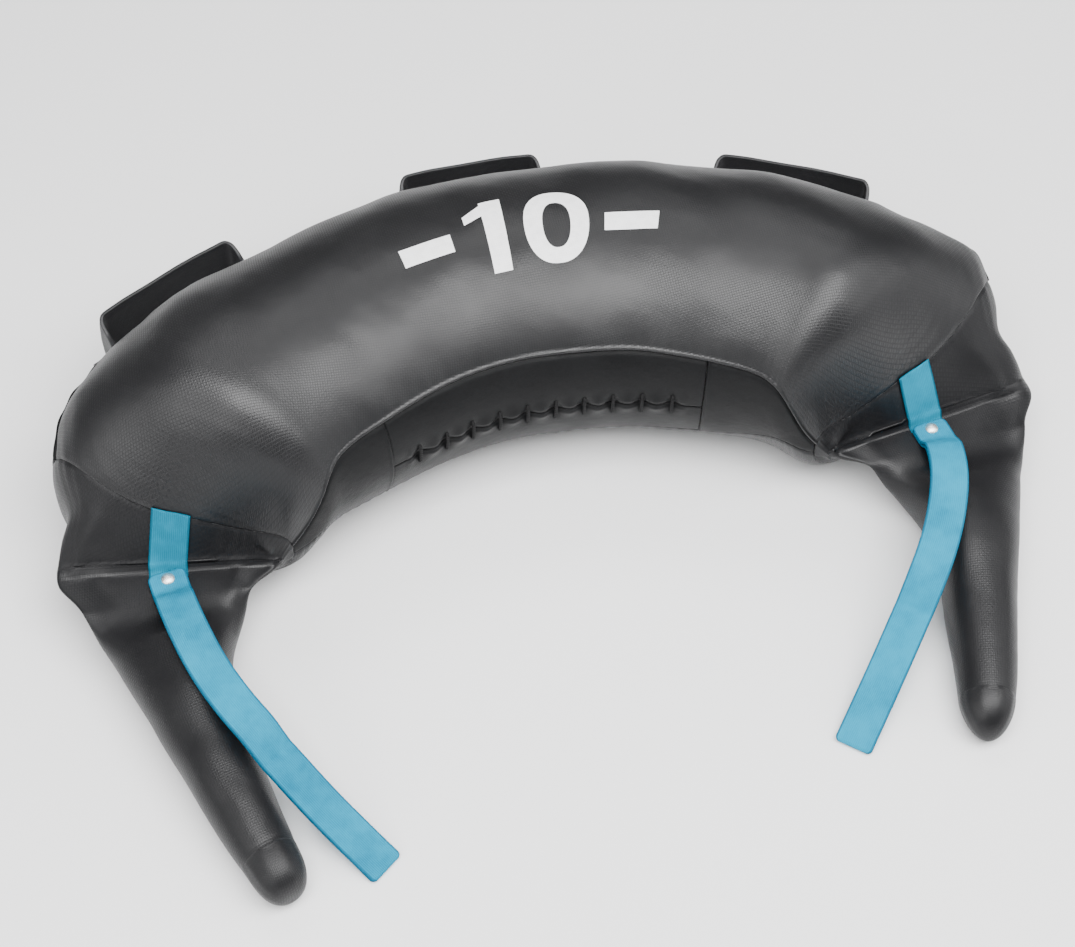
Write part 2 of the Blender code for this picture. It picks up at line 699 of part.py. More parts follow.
def grip_sizes(d):
    """Half width, half thickness, middle height and squareness of a grip's section."""
    band = GRIP_BAND_THICK / 2
    tip = GRIP_TIP / 2
    neck = GRIP_THICK * 0.5
    width = knots(d, GRIP_PLACES, [
        GRIP_BAND_WIDTH * 0.5, GRIP_BAND_WIDTH * 0.5, GRIP_BAND_WIDTH * 0.474,
        (GRIP_BAND_WIDTH + GRIP_SHOULDER) * 0.245, GRIP_SHOULDER * 0.5,
        neck * 1.15, neck * 0.96, tip * 1.06, tip * 0.94, tip * 0.70])
    thick = knots(d, GRIP_PLACES, [
        band, band, band, band + (neck - band) * 0.5, neck,
        neck * 1.06, neck * 0.94, tip * 1.06, tip * 0.94, tip * 0.70])
    under = CREASE_Z - band
    low = knots(d, GRIP_PLACES, [under, under, under, under * 0.45, under * 0.04,
                                 0.0, 0.0, 0.0, tip * 0.06, tip * 0.30])
    rest = low + thick + GRIP_FLOOR_PLAY
    square = 2.0 + 1.6 * (1.0 - np.clip(d / FLARE_END, 0.0, 1.0)) ** 1.5
    return width, thick, rest, square


def grip_line(d):
    """Plan point and heading on a grip's middle line."""
    t = np.interp(d, GRIP_RUN, GRIP_T)
    low = np.clip(t - 0.004, 0.0, 1.0)
    high = np.clip(t + 0.004, 0.0, 1.0)
    x, lx, hx = (np.interp(v, GRIP_T, GRIP_CURVE[:, 0]) for v in (t, low, high))
    y, ly, hy = (np.interp(v, GRIP_T, GRIP_CURVE[:, 1]) for v in (t, low, high))
    return x, y, np.arctan2(-(hy - ly), hx - lx)


def grip_point(d, angle):
    """Point on the outside of a grip; the angle is 0 on the side away from the other grip."""
    d, angle = np.broadcast_arrays(np.asarray(d, float), np.asarray(angle, float))
    x, y, heading = grip_line(d)
    width, thick, rest, square = grip_sizes(d)
    turn = np.radians(angle)
    across = width * round_power(np.cos(turn), 2.0 / square)
    up = thick * round_power(np.sin(turn), 2.0 / square)
    return np.stack([x + across * np.sin(heading), y + across * np.cos(heading), rest + up], -1)


def grip_middle(d, angle):
    """Middle of a grip's section."""
    d, angle = np.broadcast_arrays(np.asarray(d, float), np.asarray(angle, float))
    x, y, _ = grip_line(d)
    return np.stack([x, y, grip_sizes(d)[2]], -1)


GRIP_ANGLES = np.arange(GRIP_COLUMNS) * 360.0 / GRIP_COLUMNS


def grip_ring(d, depth):
    """Ring of points on or below a grip's outside."""
    d = np.full(GRIP_COLUMNS, float(d))
    return inset(grip_point, grip_middle, d, GRIP_ANGLES, np.full(GRIP_COLUMNS, depth))


CORE_START = FLARE_END - GRIP_FLARE_LENGTH * 0.26
SHELL_END = GRIP_REACH - GRIP_TIP_ROUND / 12
LAST_RING = GRIP_REACH - GRIP_TIP_ROUND * 0.75
CORE_ROWS = [CORE_START] + [CORE_START + (SHELL_END - CORE_START) * share for share in
                            (0.10, 0.22, 0.36, 0.50, 0.64, 0.78, 0.90)]
SHELL_ROWS = [0.0, GRIP_BAND_LENGTH * 0.5, GRIP_BAND_LENGTH,
              GRIP_BAND_LENGTH + GRIP_FLARE_LENGTH * 0.26, GRIP_BAND_LENGTH + GRIP_FLARE_LENGTH * 0.52]
SHELL_ROWS += CORE_ROWS + [LAST_RING, SHELL_END]


def grip_shell():
    """Vinyl of a grip: flat band and flare, then a tube that is open at the tip."""
    outer_rows = [grip_ring(d, 0.0) for d in SHELL_ROWS]
    inner_rows = [grip_ring(d, VINYL) for d in CORE_ROWS + [LAST_RING, SHELL_END]]
    return cup(np.array(outer_rows), np.array(inner_rows))


def root_barrel():
    """Round root that turns in the yoke's mouth."""
    rings = []
    columns = GRIP_COLUMNS
    turns = np.arange(columns) * 2.0 * np.pi / columns
    for reach, radius in ROOT_PROFILE:
        local = [(reach, radius * np.cos(t), radius * np.sin(t)) for t in turns]
        rings.append(place(local, CREASE_FRAME))
    return plug(np.array(rings))


RIVET_ORIGIN = CREASE_ORIGIN + CREASE_AHEAD * RIVET_AT + UP * GRIP_FLOOR_PLAY
RIVET_FRAME = (RIVET_ORIGIN, CREASE_OUT, CREASE_AHEAD, UP)
BAND_TOP = GRIP_BAND_THICK / 2
EYE_THICK = 2 * WEBBING_THICK
EYE_BASE = BAND_TOP + GAP
EYE_TOP = EYE_BASE + EYE_THICK

for label, sign in (("right", 1.0), ("left", -1.0)):
    verts, faces = grip_shell()
    shell = finish("grip_shell_" + label, verts, faces, BLACK_VINYL, True, sign)
    verts, faces = root_barrel()
    barrel = finish("barrel", verts, faces, BLACK_VINYL, True, sign)
    PIECES.pop(barrel.name)
    cut(shell, [barrel], "UNION")
    bore = RIVET_SHANK / 2 + GAP
    verts, faces = spin([(bore, -0.03), (bore, 0.03)], 12)
    drill = finish("drill", place(verts, RIVET_FRAME), faces, NICKEL, False, sign)
    PIECES.pop(drill.name)
    cut(shell, [drill], "DIFFERENCE")
    shell.data.polygons.foreach_set("use_smooth", [True] * len(shell.data.polygons))
    shell.data.set_sharp_from_angle(angle=np.radians(38.0))

    depth = VINYL + GAP
    core = [grip_ring(d, depth) for d in CORE_ROWS[1:]]
    plug_face = SHELL_END - CAP_PLUG - GAP
    core = core[:-1] + [grip_ring(CORE_ROWS[-2] * 0.4 + plug_face * 0.6, depth)]
    verts, faces = plug(np.array(core))
    finish("grip_core_" + label, verts, faces, WADDING, True, sign)

    end_out = grip_ring(SHELL_END, 0.0)
    end_in = grip_ring(SHELL_END, VINYL + GAP * 1.7)
    back_in = grip_ring(SHELL_END - CAP_PLUG, VINYL + GAP * 2.3)
    tip_mid = end_out.mean(axis=0)
    ahead = tip_mid - back_in.mean(axis=0)
    ahead /= np.linalg.norm(ahead)
    rings = [back_in, end_in + ahead * GAP, end_out + ahead * GAP]
    rings.append(tip_mid + (end_out - tip_mid) * 0.93 + ahead * (GAP + CAP_DOME * 0.42))
    rings.append(tip_mid + (end_out - tip_mid) * 0.66 + ahead * (GAP + CAP_DOME * 0.84))
    rings.append(tip_mid + (end_out - tip_mid) * 0.25 + ahead * (GAP + CAP_DOME))
    verts, faces = plug(np.array(rings))
    finish("tip_cap_" + label, verts, faces, BLACK_VINYL, True, sign)

    head = RIVET_HEAD / 2
    shank = RIVET_SHANK / 2
    under = EYE_TOP + GAP
    washer_top = -BAND_TOP - GAP
    tail = washer_top - RIVET_WASHER_THICK - RIVET_TAIL
    profile = [(shank * 0.7, tail), (shank, tail + RIVET_TAIL / 3), (shank, under), (head, under),
               (head, under + RIVET_DOME * 0.25), (head * 0.82, under + RIVET_DOME * 0.68),
               (head * 0.45, under + RIVET_DOME * 0.94), (head * 0.12, under + RIVET_DOME)]
    verts, faces = spin(profile, 16)
    finish("rivet_" + label, place(verts, RIVET_FRAME), faces, NICKEL, True, sign)
    hole = shank + GAP
    rim = RIVET_WASHER / 2
    low = washer_top - RIVET_WASHER_THICK
    bevel = RIVET_WASHER_THICK * 0.3
    profile = [(hole, washer_top), (rim, washer_top), (rim, low + bevel), (rim - bevel, low),
               (hole, low)]
    verts, faces = spin_hollow(profile, 16)
    finish("rivet_washer_" + label, place(verts, RIVET_FRAME), faces, NICKEL, True, sign)

# Blue webbing: the tab sewn into the end seam, the eye under the rivet and the long loop

LOOP_START = EYE_LENGTH / 2 + GAP * 3


def strap_frame(label):
    """Frame at a rivet, turned inward by the angle at which that side's strap lies."""
    swing = np.radians(LOOP_SWING[label])
    out = CREASE_OUT * np.cos(swing) + CREASE_AHEAD * np.sin(swing)
    ahead = CREASE_AHEAD * np.cos(swing) - CREASE_OUT * np.sin(swing)
    return RIVET_ORIGIN, out, ahead, UP


def strap_fold(label):
    """Point on the line along which a strap folds up from its eye."""
    origin, _, ahead, _ = strap_frame(label)
    return origin + ahead * (LOOP_START - GAP) + UP * (EYE_TOP + GAP)


def tab_grid(height):
    """Grid over the top of a yoke, from the end seam down to the mouth."""
    mix = np.linspace(-1.0, 1.0, 5)
    rows = []
    for share in (0.0, 0.25, 0.5, 0.75, 1.0):
        row = []
        for m in mix:
            across = m * WEBBING_WIDTH / 2
            angle = 90.0
            s = 0.0
            for _ in range(3):
                start = float(end_seam(angle)) - TAB_LAP
                s = start + (MOUTH_AT - GAP * 2 - start) * share
                half_width, _, _, square = body_section(s)
                ratio = np.clip(across / half_width, -1.0, 1.0)
                angle = np.degrees(np.arccos(round_power(ratio, square / 2.0)))
            row.append(body_inset(np.array(s), np.array(angle), np.array(-height)))
        rows.append(row)
    return np.array(rows)


def loop_rings(label):
    """Middle line and heading of one side's long loop, in its strap's frame."""
    steps = np.array([0.0, 0.03, 0.07, 0.14, 0.22, 0.30, 0.37, 0.44, 0.50, 0.56, 0.62, 0.70, 0.80,
                      0.90, 1.0])
    share = np.clip(steps / LOOP_TURN_SHARE, 0.0, 1.0)
    headings = np.radians(LOOP_TURN[label] * share ** LOOP_BEND[label])
    floor = -(RIVET_ORIGIN[2] - WEBBING_THICK - LOOP_SPACE / 2 - GRIP_FLOOR_PLAY)
    start_z = (EYE_BASE + EYE_TOP) / 2
    places = [0.0, 0.07, 0.22, 0.37, 0.50, 0.62, 0.80, 1.0]
    drop = floor - start_z
    rises = [0.0, LOOP_CREST * 0.56, LOOP_CREST, LOOP_CREST, LOOP_CREST * 0.80,
             drop * 0.11, drop * 0.60, drop]
    z = start_z + knots(steps, places, rises)
    run = np.sqrt(np.maximum((np.diff(steps) * LOOP_LENGTH) ** 2 - np.diff(z) ** 2, 1e-9))
    mean = (headings[1:] + headings[:-1]) / 2
    x = np.concatenate([[0.0], np.cumsum(-run * np.sin(mean))])
    y = LOOP_START + np.concatenate([[0.0], np.cumsum(run * np.cos(mean))])
    return np.stack([x, y, z], -1), headings


def loop_body(label):
    """Two layers of webbing that meet in a fold at the far end, as one closed piece."""
    line, headings = loop_rings(label)
    across = np.stack([np.cos(headings), np.sin(headings), 0 * headings], -1)
    tangent = np.gradient(line, axis=0)
    tangent /= np.linalg.norm(tangent, axis=1, keepdims=True)
    normal = np.cross(across, tangent)
    normal /= np.linalg.norm(normal, axis=1, keepdims=True)
    normal *= np.where(normal[:, 2:] < 0.0, -1.0, 1.0)
    outer = WEBBING_THICK + LOOP_SPACE / 2
    inner = LOOP_SPACE / 2
    levels = (outer, inner, -inner, -outer)
    count = len(line)
    verts = []
    for i in range(count):
        for level in levels:
            for m in (-1.0, 1.0):
                verts.append(line[i] + normal[i] * level + across[i] * m * WEBBING_WIDTH / 2)
    faces = []

    def at(i, level, m):
        return i * 8 + level * 2 + m

    for i in range(count - 1):
        for level in range(4):
            faces.append((at(i, level, 0), at(i, level, 1), at(i + 1, level, 1), at(i + 1, level, 0)))
        for level in (0, 2):
            for m in (0, 1):
                faces.append((at(i, level, m), at(i, level + 1, m),
                              at(i + 1, level + 1, m), at(i + 1, level, m)))
    for level in (0, 2):
        faces.append((at(0, level, 0), at(0, level, 1), at(0, level + 1, 1), at(0, level + 1, 0)))
    # The fold: a rounded end past the last row
    last = count - 1
    bulge = []
    near, far = WEBBING_THICK * 0.7, WEBBING_THICK * 1.5
    for reach, level in ((near, outer * 0.92), (far, 0.0), (near, -outer * 0.92)):
        for m in (-1.0, 1.0):
            bulge.append(len(verts))
            verts.append(line[last] + tangent[last] * reach + normal[last] * level
                         + across[last] * m * WEBBING_WIDTH / 2)
    chain = [(at(last, 0, 0), at(last, 0, 1)), (bulge[0], bulge[1]), (bulge[2], bulge[3]),
             (bulge[4], bulge[5]), (at(last, 3, 0), at(last, 3, 1))]
    for near, far in zip(chain, chain[1:]):
        faces.append((near[0], near[1], far[1], far[0]))
    faces.append((at(last, 1, 0), at(last, 1, 1), at(last, 2, 1), at(last, 2, 0)))
    for m in (0, 1):
        faces.append((at(last, 0, m), at(last, 1, m), bulge[0 + m]))
        faces.append((at(last, 1, m), bulge[2 + m], bulge[0 + m]))
        faces.append((at(last, 1, m), at(last, 2, m), bulge[2 + m]))
        faces.append((at(last, 2, m), bulge[4 + m], bulge[2 + m]))
        faces.append((at(last, 2, m), at(last, 3, m), bulge[4 + m]))
    return np.array(verts), faces


def eye_body():
    """Flat end of the webbing with a hole for the rivet."""
    half_x = WEBBING_WIDTH / 2
    half_y = EYE_LENGTH / 2
    hole = RIVET_SHANK / 2 + GAP
    square = EYE_LENGTH * 0.13
    front = [(half_x, square), (half_x, half_y), (half_x * 0.5, half_y), (0.0, half_y),
             (-half_x * 0.5, half_y), (-half_x, half_y), (-half_x, square)]
    nose = np.radians(np.linspace(198.0, 342.0, 7))
    outer = front + [(half_y * np.cos(t), half_y * np.sin(t)) for t in nose]
    inner = []
    for x, y in outer:
        reach = float(np.hypot(x, y))
        inner.append((hole * x / reach, hole * y / reach))
    verts = []
    for (ox, oy), (ix, iy) in zip(outer, inner):
        verts += [(ix, iy, EYE_BASE), (ox, oy, EYE_BASE), (ox, oy, EYE_TOP), (ix, iy, EYE_TOP)]
    faces = []
    for i in range(len(outer)):
        n = ((i + 1) % len(outer)) * 4
        for j in range(4):
            k = (j + 1) % 4
            faces.append((i * 4 + j, i * 4 + k, n + k, n + j))
    return np.array(verts), faces


for label, sign in (("right", 1.0), ("left", -1.0)):
    verts, faces = wall(tab_grid(GAP + WEBBING_THICK), tab_grid(GAP), False)
    finish("strap_tab_" + label, verts, faces, BLUE_WEBBING, True, sign)
    verts, faces = eye_body()
    finish("strap_eye_" + label, place(verts, strap_frame(label)), faces, BLUE_WEBBING, True, sign)
    verts, faces = loop_body(label)
    finish("strap_loop_" + label, place(verts, strap_frame(label)), faces, BLUE_WEBBING, True, sign)

# The outer handles: a flat band on two round bars that turn in sewn keepers


def handle_frame(s):
    """Frame at the middle of a handle: x along its chord, y outward, z up."""
    x, y, _ = middle_line(s)
    reach = HANDLE_SPAN / 2
    low = s - reach * local_rate(s - reach / 2)
    high = s + reach * local_rate(s + reach / 2)
    a = body_point(np.array(low), np.array(0.0))
    b = body_point(np.array(high), np.array(0.0))
    along = b - a
    along /= np.linalg.norm(along)
    out = np.array([-along[1], along[0], 0.0])
    if out @ (a - np.array([x * np.sign(s) if s else 0.0, y, a[2]])) < 0:
        out = -out
    middle = (a + b) / 2
    middle[2] = float(body_section(s)[2])
    return (middle, along, out, UP), low, high, float(np.linalg.norm(b - a)) / 2


def local_rate(s):
    """Middle-line length for a unit of length on the outer curve."""
    a = body_point(np.array(s - 0.005), np.array(0.0))
    b = body_point(np.array(s + 0.005), np.array(0.0))
    return 0.010 / float(np.linalg.norm(b - a))


def handle_body(half, stand):
    """Rings of a handle from the end of one bar to the end of the other, in its own frame."""
    bar = HANDLE_BAR
    half_keeper = KEEPER_LENGTH / 2
    leg = half - half_keeper - HANDLE_THICK * 1.2
    corner = HANDLE_THICK
    low = HANDLE_AXIS_STAND
    wide = HANDLE_WIDTH / 2
    thin = HANDLE_THICK / 2
    stations = [
        (-half - half_keeper - bar * 0.35, low, 0.0, bar * 0.8, bar * 0.8),
        (-half - half_keeper - bar * 0.12, low, 0.0, bar, bar),
        (-half + half_keeper, low, 0.0, bar, bar),
        (-leg - bar * 0.18, low + bar * 0.41, 38.0, bar, bar),
        (-leg, low + bar * 1.47, 80.0, bar * 1.53, thin * 1.25),
        (-leg + corner * 0.06, low + (stand - low) * 0.48, 90.0, wide * 0.60, thin * 1.05),
        (-leg + corner * 0.18, stand - corner * 1.53, 82.0, wide * 0.90, thin),
        (-leg + corner * 0.76, stand - corner * 0.41, 44.0, wide, thin),
        (-leg + corner * 1.94, stand, 6.0, wide, thin),
        (-leg * 0.50, stand + HANDLE_BOW * 0.75, 1.0, wide, thin)]
    mirrored = [(-x, y, -tilt, w, t) for x, y, tilt, w, t in stations[::-1]]
    middle = (0.0, stand + HANDLE_BOW, 0.0, wide, thin)
    rings = []
    turns = np.arange(12) * 2.0 * np.pi / 12
    for x, y, tilt, w, t in stations + [middle] + mirrored:
        angle = np.radians(tilt)
        face = np.array([-np.sin(angle), np.cos(angle), 0.0])
        square = 1.0 if w <= bar + 1e-9 else 0.45
        ring = []
        for turn in turns:
            up = w * round_power(np.sin(turn), square)
            off = t * round_power(np.cos(turn), square)
            ring.append(np.array([x, y, 0.0]) + face * off + UP * up)
        rings.append(ring)
    return plug(np.array(rings))


def keeper_body(frame, centre, s_mid, rate):
    """Sewn keeper whose wings follow the outer strip and whose arch holds a handle's bar."""
    origin, along, out, up = frame
    low = HANDLE_AXIS_STAND
    bore = HANDLE_BAR + GAP
    top = bore + KEEPER_WALL
    arch = np.radians([-82.0, -55.0, -28.0, 0.0, 28.0, 55.0, 82.0])
    rows = []
    for part in (-1.0, 0.0, 1.0):
        x = centre + part * KEEPER_LENGTH / 2
        s = s_mid + part * KEEPER_LENGTH / 2 * rate

        def skin(z, height):
            turn = np.degrees(np.arcsin(z / (BODY_HEIGHT / 2)))
            return body_inset(np.array(s), np.array(turn), np.array(-height))

        rim = top + KEEPER_WALL * 0.73
        outside = [skin(-KEEPER_HALF_WIDTH, GAP + KEEPER_WALL), skin(-rim, GAP + KEEPER_WALL)]
        inside = [skin(-KEEPER_HALF_WIDTH, GAP), skin(-bore - GAP * 1.3, GAP)]
        for t in arch:
            outside.append(origin + along * x + out * (low + top * np.cos(t)) + up * top * np.sin(t))
            inside.append(origin + along * x + out * (low + bore * np.cos(t)) + up * bore * np.sin(t))
        outside += [skin(rim, GAP + KEEPER_WALL), skin(KEEPER_HALF_WIDTH, GAP + KEEPER_WALL)]
        inside += [skin(bore + GAP * 1.3, GAP), skin(KEEPER_HALF_WIDTH, GAP)]
        rows.append((outside, inside))
    outer = np.array([row[0] for row in rows])
    inner = np.array([row[1] for row in rows])
    return wall(outer, inner, False)


HANDLE_AXES = {}
for label, s in (("left", -HANDLE_SIDE_AT), ("centre", 0.0), ("right", HANDLE_SIDE_AT)):
    frame, low_s, high_s, half = handle_frame(s)
    middle_out = body_point(np.array(s), np.array(0.0))
    bulge = float((middle_out - frame[0]) @ frame[2])
    verts, faces = handle_body(half, HANDLE_STAND + max(bulge, 0.0) * 0.6)
    finish("handle_" + label, place(verts, frame), faces, SMOOTH_VINYL)
    HANDLE_AXES[label] = (frame[0] + frame[2] * HANDLE_AXIS_STAND, frame[1])
    for part, centre, s_at in (("a", -half, low_s), ("b", half, high_s)):
        verts, faces = keeper_body(frame, centre, s_at, local_rate(s_at))
        finish("handle_%s_keeper_%s" % (label, part), verts, faces, SMOOTH_VINYL)

# Parents: one empty on each joint's axis, so that each moving group turns where it should


def empty(name, origin, parent=None):
    """Empty at a joint."""
    made = bpy.data.objects.new(name, None)
    made.empty_display_size = 0.02
    bpy.context.scene.collection.objects.link(made)
    made.location = Vector(origin)
    if parent is not None:
        made.parent = parent
        made.location = Vector(origin) - parent.matrix_world.translation
    bpy.context.view_layer.update()
    return made


def attach(made, parent):
    """Put a piece under an empty without moving it."""
    made.parent = parent
    made.matrix_parent_inverse = Matrix.Translation(-parent.matrix_world.translation)


root = empty("bag_root", (0.0, 0.0, 0.0))
moving = set()
for label, sign in (("right", 1.0), ("left", -1.0)):
    flip = np.array([sign, 1.0, 1.0])
    grip = empty("grip_joint_" + label, CREASE_ORIGIN * flip, root)
    swing = empty("strap_swing_joint_" + label, RIVET_ORIGIN * flip, grip)
    lift = empty("strap_lift_joint_" + label, strap_fold(label) * flip, swing)
    for name, parent in (("grip_shell_", grip), ("grip_core_", grip), ("tip_cap_", grip),
                         ("rivet_", grip), ("rivet_washer_", grip), ("strap_eye_", swing),
                         ("strap_loop_", lift)):
        attach(PIECES[name + label], parent)
        moving.add(name + label)
for label, (point, along) in HANDLE_AXES.items():
    tilt = empty("handle_joint_" + label, point, root)
    attach(PIECES["handle_" + label], tilt)
    moving.add("handle_" + label)
for name, made in PIECES.items():
    if name not in moving:
        attach(made, root)
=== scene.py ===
"""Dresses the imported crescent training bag: sewn vinyl skins, webbing, rivets, lace and handles.

Lengths are in metres and +Z is up. The bag lies on the floor with its open side facing -Y.
Surfaces are worked out as whole arrays on grids of two parameters.
"""
import json
import logging
from dataclasses import dataclass, field
from enum import Enum
from typing import Callable, Optional, Sequence, Union

import bpy
import numpy as np
from mathutils import Matrix, Vector

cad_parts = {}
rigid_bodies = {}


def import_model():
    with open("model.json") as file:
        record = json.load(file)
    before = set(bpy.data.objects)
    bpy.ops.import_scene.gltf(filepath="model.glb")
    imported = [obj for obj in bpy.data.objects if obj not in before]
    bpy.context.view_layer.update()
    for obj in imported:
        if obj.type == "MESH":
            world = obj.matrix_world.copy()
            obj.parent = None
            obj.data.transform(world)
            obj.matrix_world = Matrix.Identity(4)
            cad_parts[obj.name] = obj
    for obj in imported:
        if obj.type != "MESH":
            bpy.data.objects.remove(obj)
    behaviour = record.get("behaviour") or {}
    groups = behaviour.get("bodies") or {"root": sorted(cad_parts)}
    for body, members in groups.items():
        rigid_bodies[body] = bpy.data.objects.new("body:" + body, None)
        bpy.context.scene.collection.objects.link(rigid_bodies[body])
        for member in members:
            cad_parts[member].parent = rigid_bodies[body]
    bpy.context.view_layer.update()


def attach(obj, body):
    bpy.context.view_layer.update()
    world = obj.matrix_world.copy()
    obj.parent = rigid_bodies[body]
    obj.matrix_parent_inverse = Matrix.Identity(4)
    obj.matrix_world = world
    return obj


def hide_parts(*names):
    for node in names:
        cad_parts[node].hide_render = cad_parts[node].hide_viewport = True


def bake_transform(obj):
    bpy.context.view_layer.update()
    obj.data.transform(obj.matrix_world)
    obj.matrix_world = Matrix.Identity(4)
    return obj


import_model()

Array = np.ndarray
Material = bpy.types.Material
Object = bpy.types.Object
Number = Union[float, "Signal"]
log = logging.getLogger("training_bag")
UP = np.array([0.0, 0.0, 1.0])
MM = 0.001
WEBBING_WIDTH = 25.0 * MM
STITCH_PITCH = 26.0 * MM
STITCHES = 10
# Play between two skins that meet at a seam, and between a skin and the floor.
SEAM_GAP = 0.06 * MM
FLOOR_PLAY = 0.05 * MM
# Places inside the bag, which tell the inner side of a skin from its outer side.
INSIDE = np.array([0.0, 0.11, 0.08])
BEHIND_NECK = np.array([0.0, 0.16, 0.08])
# Length along the bag at which each handle stands.
HANDLES = {"left": -0.1845, "centre": 0.0, "right": 0.1845}


class Side(Enum):
    """Left or right half of the bag, with its sign along X."""

    LEFT = -1.0
    RIGHT = 1.0

    @property
    def word(self) -> str:
        """Name of the side as the parts use it."""
        return self.name.lower()

    @property
    def mirror(self) -> Array:
        """Factors that carry points of the right half to this side."""
        return np.array([self.value, 1.0, 1.0])


# Grids and meshes


def crowded(count: int, share: float = 0.6) -> Array:
    """Numbers from 0 to 1 that lie closer together toward both ends.

    Formula: t plus a share of the difference between half a cosine wave and t.

    Args:
        count: how many numbers.
        share: 0 for even spacing, 1 for a full cosine spacing.

    Returns:
        The numbers in rising order.
    """
    t = np.linspace(0.0, 1.0, count)
    return t + share * (0.5 - 0.5 * np.cos(np.pi * t) - t)


def unit(v: Array) -> Array:
    """Vectors of length one along the last axis."""
    return v / np.maximum(np.linalg.norm(v, axis=-1, keepdims=True), 1e-12)


def bell(value: Array, width: Union[float, Array]) -> Array:
    """Bell curve: 1 at nought, and e to the power of minus one at the width."""
    return np.exp(-(value / width) ** 2)


def ease(value: Array) -> Array:
    """Smooth step from 0 to 1, level at both ends and beyond them."""
    k = np.clip(value, 0.0, 1.0)
    return k * k * (3.0 - 2.0 * k)


def run_along(points: Array) -> Array:
    """Length of the path from its first point to each point."""
    return np.concatenate([[0.0], np.cumsum(np.linalg.norm(np.diff(points, axis=0), axis=1))])


def linked(name: str, data: bpy.types.ID) -> Object:
    """New object in the scene that holds the data.

    Args:
        name: the object's name.
        data: its mesh, light or camera.

    Returns:
        The object.
    """
    made = bpy.data.objects.new(name, data)
    bpy.context.scene.collection.objects.link(made)
    return made


def grid_normals(points: Array, inside: Array, wrap: bool = False) -> Array:
    """Unit normals of a grid that point away from the given inner points.

    Formula: the cross product of the grid's central differences along its two parameters.

    Args:
        points: grid of points, rows by columns by 3.
        inside: points on the inner side, which broadcast against the grid.
        wrap: whether the last column meets the first.

    Returns:
        Grid of normals.
    """
    along = np.gradient(points, axis=0)
    if wrap:
        around = np.roll(points, -1, axis=1) - np.roll(points, 1, axis=1)
    else:
        around = np.gradient(points, axis=1)
    normal = unit(np.cross(along, around))
    outward = np.sum(normal * (points - inside), axis=-1)
    flip = -1.0 if np.median(outward) < 0.0 else 1.0
    return normal * flip


